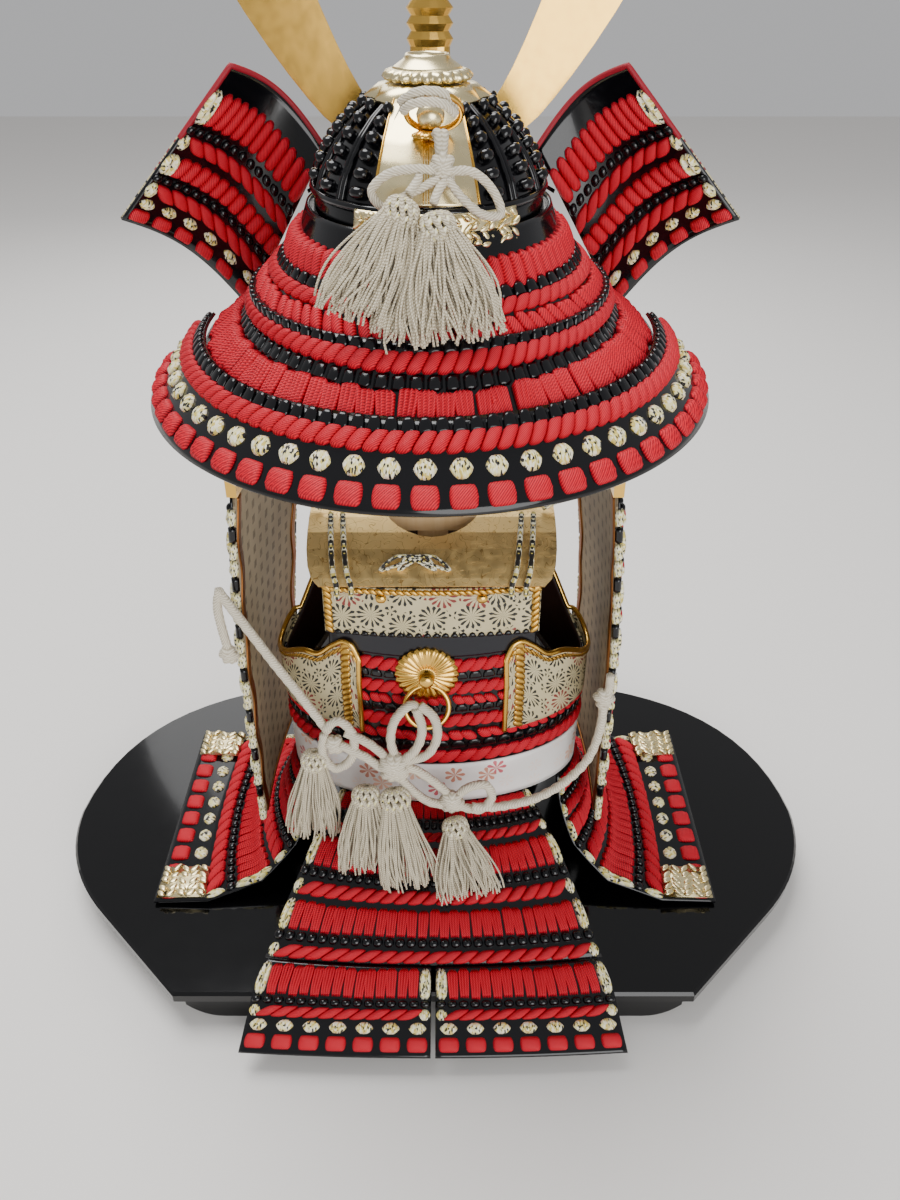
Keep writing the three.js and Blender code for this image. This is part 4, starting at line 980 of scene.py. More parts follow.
def eased(table, at):
    """A table's value at a place, on a smooth curve through its rows."""
    keys, values = table[:, 0], table[:, 1]
    slopes = np.gradient(values, keys)
    i = np.clip(np.searchsorted(keys, at) - 1, 0, len(keys) - 2)
    span = keys[i + 1] - keys[i]
    t = np.clip((at - keys[i]) / span, 0, 1)
    return ((1 + 2 * t) * (1 - t) ** 2 * values[i] + t * (1 - t) ** 2 * span * slopes[i]
            + t * t * (3 - 2 * t) * values[i + 1] + t * t * (t - 1) * span * slopes[i + 1])


def band_surface(first, last, bottom, top, out=0.0, columns=81, rows=13):
    """Part of the drum between two angles; top may follow the angle."""
    def point(u, v):
        degrees = first + u * (last - first)
        high = top(np.abs(degrees)) if callable(top) else top
        return cuirass_point(degrees, high + v * (bottom - high), out)
    return Surface(point, columns, rows, from_axis)


back_wall = band_surface(SIDE_SEAM, -SIDE_SEAM, WAIST_TOP, lambda d: eased(CUIRASS_EDGE, d), columns=161)
front_wall = band_surface(
    360 - 92.2, 92.2, WAIST_TOP, lambda d: eased(CUIRASS_EDGE, np.abs((d + 180) % 360 - 180)), columns=161)
piece("cuirass_back_lames", [back_wall.wall(0, -1.2)], BLACK_LACQUER, ["cuirass_back"])
piece("cuirass_back_inside", [back_wall.wall(-1.25, -2.0)], BROWN_LEATHER)
piece("cuirass_front_leather", [front_wall.wall(0, -1.2)], STENCILLED_LEATHER,
      ["cuirass_front"])
piece("cuirass_front_inside", [front_wall.wall(-1.25, -2.0)], BROWN_LEATHER)

BRAID, CURLS, HEADS = (dict(pitch=7.0, height=2.2), dict(pitch=6.4, height=1.8),
                       dict(pitch=7.2, height=1.4))
UPPER_ROWS = (
    # kind, high, low, measures
    ("braid", 168.5, 159.5, BRAID), ("heads", 160.5, 154.5, HEADS), ("braid", 153.8, 144.8, BRAID),
    ("curls", 144.0, 137.0, CURLS), ("heads", 138.5, 132.0, HEADS), ("braid", 131.0, 121.5, BRAID),
)
LOWER_ROWS = (("curls", 119.0, 111.0, CURLS), ("heads", 112.0, 105.0, HEADS), ("braid", 104.0, 94.0, BRAID))


def cuirass_rows(half, top, bottom, table, first_seed, columns=81):
    """Rows given by their heights, on a band of the back."""
    rows = [laid(kind, (top - high) / (top - bottom), (top - low) / (top - bottom), **measures)
            for kind, high, low, measures in table]
    return dressed(band_surface(half, -half, bottom, top, columns=columns), rows, first_seed)


upper = cuirass_rows(28, CUIRASS_TOP, SIDE_BOTTOM, UPPER_ROWS, 1)
lower = cuirass_rows(SIDE_SEAM, LOWER_TOP, WAIST_TOP, LOWER_ROWS, 21, columns=161)
piece("cuirass_red_braids", upper["red"] + lower["red"], RED_SILK)
piece("cuirass_scale_heads", upper["black"] + lower["black"], BLACK_LACQUER)
piece("cuirass_top_band", [band_surface(40, -40, 170.0, CUIRASS_TOP + 0.4).wall(0.9, -0.2)], NAVY_LACQUER)

# %% [markdown]
# The sash is a band of figured white satin wound tight round the waist. It could be cloth that is
# simulated, but a stretched band shows no folds, so it is a thin wall on the drum, 1 mm out.

# %% Satin sash
sash = band_surface(180, -180, WAIST_BOTTOM, WAIST_TOP - 0.3, 1.0, 181, 9)
sash_piece = piece("waist_sash", [sash.wall(0.0, -1.1)], WHITE_SATIN, ["waist_band"])
print("sash", round(sash.width), "by", round(sash.length), "mm")

# %% [markdown]
# The leather plates are edged with a gilt rim, a round wire bent along the edge, and inside it a
# plaited gold wire. The rim also follows the arm opening round to the front. Laying a thin tube
# and a row of twists on the same surface keeps them together.

# %% Side plates, back plate and chest plate


def edge_line(side, first, last, edge, out, count):
    """The drum's edge from one angle to another, just above its height."""
    degrees = np.linspace(first, last, count)
    return cuirass_point(side * degrees, eased(edge, degrees) + 0.3, out)


def wire(surface, pitch, start, end, height, lean=0.8, **more):
    """A plaited gold wire: a row of leaning twists between two shares of a plate."""
    return row(surface, "twist", pitch, start, end, height, lean=lean, **more)


rims, wires = [], []
for name, side in SIDES:
    plate = band_surface(side * 26.5, side * 112, SIDE_BOTTOM, lambda d: eased(SIDE_EDGE, d), 2.2, 121, 17)
    piece(f"side_plate_{name}_leather", [plate.wall(0, -1.6)], STENCILLED_LEATHER,
          [f"side_plate_{name}"])
    upright = cuirass_point(np.full(20, side * 26.2), np.linspace(SIDE_BOTTOM - 1, 166, 20), 2.4)
    rim = np.vstack([upright, edge_line(side, 26.6, 112, SIDE_EDGE, 2.0, 90),
                     edge_line(side, 114, 142, CUIRASS_EDGE, -0.4, 30)])
    rims.append(tubes([rim], 1.5, sides=10, step=1.5))
    wires.append(wire(plate, 2.6, 0.035, 0.09, 1.0, seed=3, swapped=True))
    wires.append(wire(plate, 2.6, 0.05, 0.115, 1.0, seed=5))
piece("arm_opening_rims", rims, GILT)
piece("side_plate_wires", wires, GOLD_WIRE)

PLATE_OUT, PLATE_BOW = 2.2, 5.0
UPRIGHT_PLATES = (
    # name, half width, bottom, top, towards the back or the front
    ("back_plate", 54.0, 184.0, 211.5, 1.0), ("chest_plate", 46.0, 191.0, 208.5, -1.0))


def upright_surface(half_width, bottom, top, back):
    """A plate that stands in front of the drum or behind it and bows with it."""
    def point(u, v):
        x = (1 - 2 * u) * half_width * back
        height = top + v * (bottom - top)
        deep = np.interp(height, CUIRASS[:, 0], CUIRASS[:, 2]) + PLATE_OUT
        return above(x, back * (deep - PLATE_BOW * (x / half_width) ** 2), height)
    return Surface(point, 61, 13, from_axis)


for name, *measures in UPRIGHT_PLATES:
    plate = upright_surface(*measures)
    piece(name + "_leather", [plate.wall(0, -1.6)], STENCILLED_LEATHER, [name])
    piece(name + "_wires", [wire(plate, 3.4, 0.0, 0.13, 1.3),
                            wire(plate, 3.4, 0.0, 0.045, 1.3, seed=2, swapped=True),
                            wire(plate, 3.4, 0.955, 1.0, 1.3, lean=-0.8, seed=3, swapped=True)],
          GOLD_WIRE)
    piece(name + "_scallops", [row(plate, "head", 4.6, 0.91, 1.09, 1.2)], BLACK_LACQUER)
    rivets = [row(plate, "bead", 6.0, 0.10, 0.30, 2.2, side_from=middle - 0.028, side_to=middle + 0.028,
                  count=1) for middle in (0.27, 0.73)]
    piece(name + "_rivets", rivets, GILT)

# %% [markdown]
# On the back a gilt chrysanthemum boss carries a ring. Its petals are flutes round a centre, made
# as rings of points whose height follows the angle, closed behind by a flat disc.

# %% Boss and ring
BOSS_X, BOSS_HEIGHT, BOSS_RADIUS = 3.0, 160.0, 16.5
BOSS_DOME, BOSS_STUD = 2.6, 6.5
PETALS, SIDES_PER_PETAL = 24, 6
SCALLOP = 0.05
FLUTED_RINGS = (  # share of the radius, share of the dome, how fluted
    (1.0, 0.0, 1.0), (1.0, 0.6, 1.0), (0.8, 1.0, 1.0), (0.5, 1.25, 0.8), (0.3, 1.3, 0.3), (0.24, 1.3, 0.0))
STUD_RINGS = ((0.24, 0.7), (0.2, 1.0), (0.1, 1.08))


def fluted_boss(centre, normal):
    """A gilt flower: flutes round a stud, closed at the back. The centre is in metres."""
    normal = np.array(normal, float) / np.linalg.norm(normal)
    across = np.cross([0, 0, 1.0], normal)
    across /= np.linalg.norm(across)
    up = np.cross(normal, across)
    count = PETALS * SIDES_PER_PETAL
    turn = np.arange(count) / count * 2 * math.pi
    crest = np.abs(np.cos(PETALS * turn / 2))
    spokes = np.cos(turn)[:, None] * across + np.sin(turn)[:, None] * up
    rings = []
    for share, lift, fluted in FLUTED_RINGS:
        reach = BOSS_RADIUS * share * (1 - SCALLOP * (1 - crest) * fluted)
        height = BOSS_DOME * lift * (0.75 + 0.25 * crest * fluted)
        rings.append(reach[:, None] * spokes + height[:, None] * normal)
    for share, lift in STUD_RINGS:
        rings.append(BOSS_RADIUS * share * spokes + (BOSS_DOME + BOSS_STUD * lift) * normal)
    poles = [np.zeros(3), (BOSS_DOME + BOSS_STUD * 1.1) * normal]
    ids = np.arange(len(rings) * count).reshape(len(rings), count)
    ahead = np.roll(ids, -1, axis=1)
    quads = np.stack([ids[:-1], ahead[:-1], ahead[1:], ids[1:]], axis=-1).reshape(-1, 4)
    back = np.stack([ahead[0], ids[0], np.full(count, ids.size)], axis=-1)
    front = np.stack([ids[-1], ahead[-1], np.full(count, ids.size + 1)], axis=-1)
    points = np.concatenate(rings + [poles]) * MM + np.array(centre)
    corners = np.concatenate([quads.ravel(), back.ravel(), front.ravel()]).astype(np.int32)
    totals = np.concatenate([np.full(len(quads), 4), np.full(2 * count, 3)]).astype(np.int32)
    return points, corners, totals, np.zeros_like(points)


def ring_tube(centre, radius, thick, tilt_degrees):
    """A closed ring whose plane is turned about X."""
    turn = np.linspace(0, 2 * math.pi, 49)
    tilt = math.radians(tilt_degrees)
    x, reach = radius * np.cos(turn), radius * np.sin(turn)
    ring = np.stack([x, reach * math.cos(tilt), reach * math.sin(tilt)], axis=-1)
    return tubes([ring * MM + np.array(centre)], thick, sides=10)


boss_y, boss_z = cuirass_point(0.0, BOSS_HEIGHT, 0.7)[1:]
piece("back_boss_flower", [fluted_boss((BOSS_X * MM, boss_y, boss_z), (0, 1, 0.05))], GILT,
      ["back_boss"])
ring_centre = (BOSS_X * MM, boss_y + 6.7 * MM, (BOSS_HEIGHT - 17 + BOARD_TOP) * MM)
piece("back_ring_wire", [ring_tube(ring_centre, 11.4, 1.4, 115)], GILT, ["back_ring"])

# %% [markdown]
# The skirts hang from the sash; the side ones end on the board and the others hang over its edge.
# Each has the same lames as the cuirass, with long lacing between them, and a flecked edging braid
# that wraps the lacing at both side edges.
# The lowest lame carries gold stitches and red knots over a black edge.

# %% Back and front skirts
SKIRT_TOP, SKIRT_HEM = (46.2, 62.7), (158.0, -12.5)  # reach and height
SKIRT_HALVES = np.array([(0, 54), (0.25, 71), (0.5, 85), (0.75, 97), (1, 103)])
SKIRT_ROUNDING, SKIRT_SAG, HEM_BOW = 85, 1.5, 3
HEM_SPLIT, HEM_START, SLIT = 0.655, 0.659, 0.012
SKIRT_ROWS = (
    ("lacing", 0.0, 0.085), ("heads", 0.08, 0.125), ("braid", 0.13, 0.175), ("lacing", 0.185, 0.318),
    ("heads", 0.312, 0.356), ("braid", 0.362, 0.425), ("lacing", 0.435, 0.558),
    ("heads", 0.55, 0.592), ("braid", 0.597, 0.652))
HEM_ROWS = (
    ("lacing", 0.662, 0.79), ("heads", 0.785, 0.818), ("braid", 0.818, 0.864),
    ("stitches", 0.868, 0.916), ("knots", 0.922, 0.982))
SKIRT_STITCH = 14.2


def upwards(points):
    """Straight up at every point."""
    return np.zeros_like(points) + np.array([0.0, 0.0, 1.0])


def skirt_surface(side, first, last, start, end):
    """Part of the back skirt, side 1, or the front one, side -1, between shares across and down."""
    def point(u, v):
        down = start + v * (end - start)
        x = (first + u * (last - first)) * np.interp(down, SKIRT_HALVES[:, 0], SKIRT_HALVES[:, 1])
        top_reach = SKIRT_TOP[0] * np.sqrt(np.clip(1 - (x / SKIRT_ROUNDING) ** 2 * (1 - down), 0, None))
        hem_reach = SKIRT_HEM[0] - HEM_BOW * (x / 100) ** 2
        height = SKIRT_TOP[1] + down * (SKIRT_HEM[1] - SKIRT_TOP[1]) - SKIRT_SAG * np.sin(math.pi * down)
        return above(x, side * ((1 - down) * top_reach + down * hem_reach), height)
    return Surface(point, 33, 29, upwards)


def edged_rows(rows, start=0.0, end=1.0, edge=0.035):
    """Rows in shares of a whole panel, cut to one part of it, with flecked braid at both edges."""
    made = []
    middle = dict(side_from=edge, side_to=1 - edge)
    for kind, high, low in rows:
        first, last = (high - start) / (end - start), (low - start) / (end - start)
        if kind == "heads":
            made.append(laid("beads", first, last, pitch=6.4, height=2.8))
        elif kind == "braid":
            made.append(laid(kind, first, last, pitch=9.0, height=3.8, lean=-1.1, **middle))
        elif kind == "lacing":
            made.append(laid(kind, first, last, pitch=6.4, uneven=0.3, fill=1.08, **middle))
        elif kind == "stitches":
            made.extend(gold_stitches(first, last, SKIRT_STITCH))
        else:
            made.append(laid("knots", first, last, pitch=SKIRT_STITCH))
        if kind in ("braid", "lacing"):
            edging = "cross edging" if kind == "braid" else "loop edging"
            made.extend(laid(edging, first, last, pitch=7.0, side_from=side_from, side_to=side_to)
                        for side_from, side_to in ((0.0, edge), (1 - edge, 1.0)))
    return made


laced_panel("back_skirt", skirt_surface(1.0, 1, -1, 0.0, HEM_SPLIT), edged_rows(SKIRT_ROWS, 0.0, HEM_SPLIT),
            ["back_tasset"])
for name, first, last in (("left", 1.0, SLIT), ("right", -SLIT, -1.0)):
    laced_panel(f"back_skirt_hem_{name}", skirt_surface(1.0, first, last, HEM_START, 1.0),
                edged_rows(HEM_ROWS, HEM_START, 1.0, edge=0.07), [f"back_tasset_hem_{name}"])
laced_panel("front_skirt", skirt_surface(-1.0, -1, 1, 0.0, 1.0), edged_rows(SKIRT_ROWS + HEM_ROWS),
            ["front_tasset"])

# %% [markdown]
# The side skirts spread in a curve, from the waist to nearly flat on the board. A table of heights
# gives that curve, and each lower corner is covered by a small gilt plate of openwork.

# %% Side skirts
SIDE_SKIRT = np.array([  # share down, reach, height, back, front
    (0.0, 84.5, 62.0, 25, 25), (0.2, 89, 45, 34, 34), (0.4, 98, 28, 48, 48), (0.6, 114, 12, 62, 62),
    (0.8, 138, 4.5, 70, 70), (1.0, 166, 3.2, 70, 74)])
SIDE_ROWS = (
    ("lacing", 0.02, 0.14), ("heads", 0.14, 0.19), ("braid", 0.19, 0.27), ("lacing", 0.28, 0.40),
    ("heads", 0.395, 0.44), ("braid", 0.445, 0.525), ("lacing", 0.535, 0.70), ("heads", 0.69, 0.73),
    ("braid", 0.73, 0.81), ("stitches", 0.825, 0.885), ("knots", 0.90, 0.985))
PLATE_TOP, PLATE_BOTTOM, PLATE_SHARE = 0.80, 0.985, 0.16
SCROLL_ROWS = 5


def side_skirt(side):
    """A side skirt's surface, drawn in towards its edges near the waist."""
    def point(u, v):
        reach, height, back, front = (np.interp(v, SIDE_SKIRT[:, 0], column) for column in SIDE_SKIRT.T[1:])
        y = back - u * (back + front)
        rounding = np.minimum(24 * (1 - v) ** 2 * (y / 36) ** 2, 20)
        return above(side * (reach - rounding), y, height)
    return Surface(point, 33, 41, lambda p: upwards(p) + np.array([side, 0, 0]))


def openwork_plate(surface, side_from, side_to):
    """A small square gilt plate of openwork: fine low scrolls on a thin base."""
    reach = dict(side_from=side_from, side_to=side_to)
    rows = [row(surface, "strip", 5.0, PLATE_TOP, PLATE_BOTTOM, 1.0, lift=3.2, count=1, **reach)]
    deep = PLATE_BOTTOM - PLATE_TOP
    for index in range(SCROLL_ROWS):
        high = PLATE_TOP + deep * index / SCROLL_ROWS
        rows.append(row(surface, "bead", 4.6, high, high + deep / SCROLL_ROWS, 1.1, lift=3.9,
                        lean=0.6 - 1.2 * (index % 2), uneven=0.6, seed=index + 3, **reach))
    return joined(rows)


for name, side in SIDES:
    surface = side_skirt(side)
    corners = [openwork_plate(surface, *ends) for ends in ((0.0, PLATE_SHARE), (1 - PLATE_SHARE, 1.0))]
    laced_panel(f"side_skirt_{name}", surface, edged_rows(SIDE_ROWS), [f"side_tasset_{name}"],
                extra={"gilt": corners})

# %% [markdown]
# The shoulder guards hang at the arms. Outside they are laced like the skirts; the inside, which
# faces the cuirass, is lined with pale doeskin printed with small dashes and bound with a wavy
# copper-coloured border. Along the edges run black lame ends wrapped with flecked braid.

# %% Shoulder guards
GUARD_TOP, GUARD_BOTTOM, GUARD_BACK, GUARD_FRONT = 258.0, 45.0, 42.0, -60.0
GUARD_WALL, GUARD_BULGE, GUARD_SHIFT = 2.2, 2.5, 2.5
GUARD_REACH = np.array([  # height, back, left guard's front, right guard's front
    (45, 99, 93, 95), (110, 98, 90, 94.5), (170, 97, 84, 92), (220, 94, 79, 87), (258, 91, 75, 83)])
GUARD_LAMES, LAMES_SHARE = 7, 0.96
BORDER_INSET = 2.3
EDGE_LOOPS, LOOP_PITCH, LOOP_LENGTH = 22, 9.5, 7.5


def guard_point(side, u, height, out=0.0):
    """A point on a guard, from its back edge, 0, to its front edge, 1, and so far out from it."""
    back = np.interp(height, GUARD_REACH[:, 0], GUARD_REACH[:, 1])
    front = np.interp(height, GUARD_REACH[:, 0], GUARD_REACH[:, 2 if side > 0 else 3])
    reach = side * (back + u * (front - back) + GUARD_BULGE * np.sin(math.pi * u) + out)
    return above(GUARD_SHIFT + reach, GUARD_BACK + u * (GUARD_FRONT - GUARD_BACK), height)


def guard_surface(side, out, facing):
    """A guard's surface, so far out from it, that faces outwards, 1, or the cuirass, -1."""
    def point(u, v):
        return guard_point(side, u, GUARD_TOP + v * (GUARD_BOTTOM - GUARD_TOP), out)
    return Surface(point, 15, 33, lambda p: np.zeros_like(p) + np.array([side * facing, 0, 0]))


def guard_rows():
    """Seven lames: heads, braid and lacing in each, but stitches and knots on the last."""
    made = []
    step = LAMES_SHARE / GUARD_LAMES
    for index in range(GUARD_LAMES):
        start = 0.02 + index * step
        parts = [("heads", 0.0, 0.16), ("braid", 0.16, 0.42), ("lacing", 0.44, 1.02)]
        if index == GUARD_LAMES - 1:
            parts[2:] = [("stitches", 0.46, 0.68), ("knots", 0.7, 1.0)]
        made.extend((kind, start + high * step, start + low * step) for kind, high, low in parts)
    return made


def guard_border(side):
    """Wavy wires down both edges of the lining and a straight one along its hem."""
    heights = np.linspace(GUARD_TOP - 2, GUARD_BOTTOM + 1, 90)
    lines = []
    for u, phase, inward in ((0.06, 0.0, 1), (0.94, 1.5, -1)):
        wave = 0.018 * np.sin(heights / 6.5 + phase)
        lines.extend(guard_point(side, u + wave + inward * step, heights, -BORDER_INSET)
                     for step in (-0.028, -0.012, 0.004))
    hem = guard_point(side, np.linspace(0.05, 0.95, 40), np.full(40, GUARD_BOTTOM + 2.0), -BORDER_INSET)
    return lines + [hem]


def guard_edges(side):
    """Short upright cords down both edges: two flecked loops to each black lame end."""
    loops, ends = [], []
    for u in (-0.008, 1.008):
        for index in range(EDGE_LOOPS):
            high = GUARD_TOP - 6 - index * LOOP_PITCH
            top, bottom = (guard_point(side, u, h, -0.6) for h in (high, high - LOOP_LENGTH))
            (ends if index % 3 == 1 else loops).append(np.linspace(top, bottom, 5))
    return loops, ends


for name, side in SIDES:
    guard = f"shoulder_guard_{name}"
    laced_panel(guard, guard_surface(side, 0.0, 1.0), edged_rows(guard_rows(), edge=0.05), [guard],
                wall=(0.0, -1.2))
    inside = guard_surface(side, -1.3, -1.0)
    lining = piece(guard + "_lining", [inside.wall(0.9, 0.0)], DASHED_LINING)
    piece(guard + "_border", [tubes(guard_border(side), 1.0, step=2.0)], COPPER)
    loops, ends = guard_edges(side)
    piece(guard + "_edge_loops", [tubes(loops, 1.9, strand=0.25, strands=2.0, pitch=4.0)],
          FLECKED_SILK)
    piece(guard + "_lame_ends", [tubes(ends, 2.0, step=1.5)], BLACK_LACQUER)

# %% [markdown]
# The turned-back wings at the ends of the neck guard show their laced side to the back. Their top
# margin is black lacquer with a crimson edge, and the rows run from it down to the red knots.

# %% Turned-back wings
WING_CORNERS = ((49, -47, 392), (86, -36, 427), (93, -50, 317), (141, -24, 366))  # top, then bottom
WING_BOW = (0.0, -5.6, 6.0)
WING_STITCH = 13.0
WING_ROWS = (
    ("lacing", 0.13, 0.36), ("heads", 0.36, 0.42), ("braid", 0.42, 0.52), ("lacing", 0.54, 0.68),
    ("heads", 0.68, 0.73), ("braid", 0.73, 0.83), ("stitches", 0.835, 0.90), ("knots", 0.905, 0.985))


def wing_surface(side):
    """A wing's four corners filled in, bowed between its ends."""
    corners = [above(side * x, y, height) for x, y, height in WING_CORNERS]

    def point(u, v):
        u, v = u[..., None], v[..., None]
        top = corners[0] * (1 - u) + corners[1] * u
        bottom = corners[2] * (1 - u) + corners[3] * u
        return top * (1 - v) + bottom * v + np.array(WING_BOW) * MM * np.sin(math.pi * u)
    return Surface(point, 31, 25, lambda p: np.zeros_like(p) + np.array([0, 1.0, 0]))


def wing_rows():
    """The wing's rows, with flecked braid at its free end only."""
    made = []
    for kind, high, low in WING_ROWS:
        if kind == "heads":
            made.append(laid("beads", high, low, pitch=5.6, height=2.2))
        elif kind == "braid":
            made.append(laid(kind, high, low, pitch=8.5, height=3.0, side_to=0.9))
            made.append(laid("cross edging", high, low, pitch=6.0, height=3.0, side_from=0.91, side_to=0.995))
        elif kind == "lacing":
            made.append(laid("braid", high, low, pitch=6.4, height=3.6, lean=0.5, side_to=0.9))
            made.append(laid("loop edging", high, low, pitch=8.0, height=3.4, side_from=0.89, side_to=1.0))
        elif kind == "stitches":
            made.extend(gold_stitches(high, low, WING_STITCH))
        else:
            made.append(laid("knots", high, low, pitch=WING_STITCH))
    return made


for name, side in SIDES:
    surface = wing_surface(side)
    laced_panel(f"wing_{name}", surface, wing_rows(), [f"turned_back_wing_{name}"], wall=(0.0, -1.2))
    piece(f"wing_{name}_backing", [surface.wall(-1.25, -2.2)], STENCILLED_LEATHER)
    rim = np.concatenate([surface.points[0], surface.points[1:12, -1]]) - surface.out[0, 0] * 0.9 * MM
    piece(f"wing_{name}_edge", [tubes([rim], 1.3, step=1.5)], CRIMSON_LEATHER)

# %% [markdown]
# The helmet bowl is built of lacquered plates. Paired ribs run from the crown to the rim, and
# between them stand columns of blunt rivets, about seven millimetres apart. A rolled bead closes
# the rim. Behind, a gilt plate with chased lines carries the ring.

# %% Helmet bowl
BOWL = np.array([  # height and half width, from the crown to the rim
    (424, 0.01), (423, 13.5), (420, 21.5), (415, 29), (409, 35.5), (402, 41), (395, 45.2), (387, 48)])
BOWL_STRETCH = BOWL_HALF_DEPTH / BOWL_HALF_WIDTH
BOWL_LENGTHS = np.concatenate([[0], np.cumsum(np.hypot(*np.diff(BOWL, axis=0).T))])
CROWN_SHARE = 0.12
BOWL_PLATES, RIVETS_IN_PLATE, GILT_PLATE_REACH = 16, 6, 20
PLATE_ANGLE = 360 / BOWL_PLATES


def on_profile(along, column):
    """The bowl's height or half width at a share of the way from the crown to the rim."""
    return np.interp(np.clip(along, 0, 1) * BOWL_LENGTHS[-1], BOWL_LENGTHS, BOWL[:, column])


def bowl_point(degrees, along, out=0.0):
    """A point on the bowl: along runs from the crown, 0, to the rim, 1."""
    radius = on_profile(along, 1) + out * np.clip(along * 1.4, 0, 1)
    turn = np.radians(degrees)
    height = on_profile(along, 0) + out * 0.5
    return above(radius * np.sin(turn), radius * BOWL_STRETCH * np.cos(turn), height)


def outwards_and_up(points):
    """Away from the middle line and a little up, which holds at the crown too."""
    return from_axis(points) + upwards(points) * 0.02


def bowl_surface(first, last, start, end, columns=41, rows=41):
    """Part of the bowl between two angles and two shares of the way down."""
    def point(u, v):
        return bowl_point(first + u * (last - first), start + v * (end - start))
    return Surface(point, columns, rows, outwards_and_up)


piece("helmet_bowl_plates", [bowl_surface(180, -180, CROWN_SHARE, 1.0, 97, 21).wall(0.0, -1.6),
                             bowl_surface(180, -180, 0.0, CROWN_SHARE + 0.02, 97, 4).wall(0.0, -1.6)],
      BLACK_LACQUER, ["helmet_bowl"])
ribs, rivets = [], []
for index in range(BOWL_PLATES):
    middle = 180 + (index + 0.5) * PLATE_ANGLE
    if abs((middle + 180) % 360 - 180) < GILT_PLATE_REACH:
        continue
    ribs.extend(bowl_point(middle + offset * PLATE_ANGLE, np.linspace(0.36, 0.99, 24), 0.5)
                for offset in (-0.44, 0.44))
    plate = bowl_surface(middle + 6.5, middle - 6.5, 0.36, 0.97)
    rivets.append(row(plate, "bead", 8.0, 0.10, 0.90, 4.4, swapped=True, count=RIVETS_IN_PLATE,
                      uneven=0.08, seed=index, fill=0.86))
piece("helmet_bowl_ribs", [tubes(ribs, 1.1, step=1.6)], BLACK_LACQUER)
piece("helmet_bowl_rivets", rivets, BLACK_LACQUER)
rim = helmet_point(np.linspace(0, 360, 121), 0.9, 387.6)
piece("helmet_bowl_rim", [tubes([rim], 1.5, sides=10, step=1.6)], BLACK_LACQUER)


def back_plate_point(u, v):
    """The gilt plate behind: it widens from the crown to the rim."""
    along = 0.27 + v * 0.70
    half_width = np.interp(along, (0.25, 1.0), (11.5, 20.0))
    half = np.degrees(np.arcsin(np.clip(half_width / on_profile(along, 1), 0, 0.98)))
    return bowl_point((1 - 2 * u) * half, along, 1.5)


gilt_back = Surface(back_plate_point, 41, 41, outwards_and_up)
piece("bowl_gilt_plate", [gilt_back.wall(0.2, -0.7)], PALE_GILT, ["bowl_back_plate"])
raised = gilt_back.points + gilt_back.out * 0.2 * MM
middle_lines = [raised[14:40, column] for column in (19, 20, 21)]
piece("bowl_plate_lines", [tubes(middle_lines, 0.22, sides=6),
                           tubes([raised[:, 0], raised[:, -1]], 0.5, step=1.5)], GILT)

# %% [markdown]
# A lacquered band joins the bowl to the neck guard, and behind it lies a small gilt plate of
# openwork. Its scrolls could be carved one by one, but four uneven rows of curls and beads on a
# thin plate give the same low relief.

# %% Helmet band and its openwork
SCROLLS = (  # item, start, end, lean
    ("bead", 0.0, 0.28, 0.6), ("curl", 0.24, 0.55, -0.8), ("bead", 0.5, 0.8, 0.7), ("curl", 0.74, 1.0, -0.5))
band = Surface(lambda u, v: helmet_point((1 - 2 * u) * 180, 2.2 * v, 386.5 - v * 15.5), 161, 7, from_axis)
piece("helmet_band_wall", [band.wall(0.0, -1.4)], BLACK_LACQUER, ["helmet_band"])


def scroll_point(u, v):
    """The openwork plate across the band: its lower edge dips between its lobes."""
    lobes = 1.0 + 0.10 * np.cos(u * 10 * math.pi)
    return helmet_point(33 - 76 * u, 2.6 + 2.4 * v, 387.5 - 13.5 * v * lobes)


scroll = Surface(scroll_point, 41, 7, from_axis)
openwork = [row(scroll, kind, 4.0, start, end, 1.7, lean=lean, uneven=0.8, seed=4 + number)
            for number, (kind, start, end, lean) in enumerate(SCROLLS)]
piece("band_openwork", [scroll.wall(0.3, -0.4), *openwork], PALE_GILT, ["band_ornament"])

# %% [markdown]
# The crown opening is a turned and stamped gilt ornament in three layers: a notched petal plate, a
# ring of lobes, and a cone with a rolled lip. Rings of points whose radius follows the angle give
# all of them, so the layers share one function. Behind it hang a ball, a fluted washer and a ring.

# %% Crown ornament and ring


def turned_layers(rings, centre=(0, 0, 0), count=192):
    """A closed turned solid from rings of radius, height and, where it is lobed, lobes and depth."""
    turn = np.arange(count) / count * 2 * math.pi
    x, y, z = centre
    rows = []
    for radius, height, *lobed in rings:
        lobes, depth = lobed or (1, 0)
        wave = radius * (1 - depth * (1 - np.abs(np.cos(lobes * turn / 2))))
        rows.append(above(x + wave * np.sin(turn), y + wave * np.cos(turn), z + height))
    ids = np.arange(len(rings) * count).reshape(len(rings), count)
    around, below = np.roll(ids, -1, axis=1), np.roll(ids, -1, axis=0)
    quads = np.stack([ids, around, np.roll(below, -1, axis=1), below], axis=-1).reshape(-1, 4)
    return quad_part(np.concatenate(rows), quads)


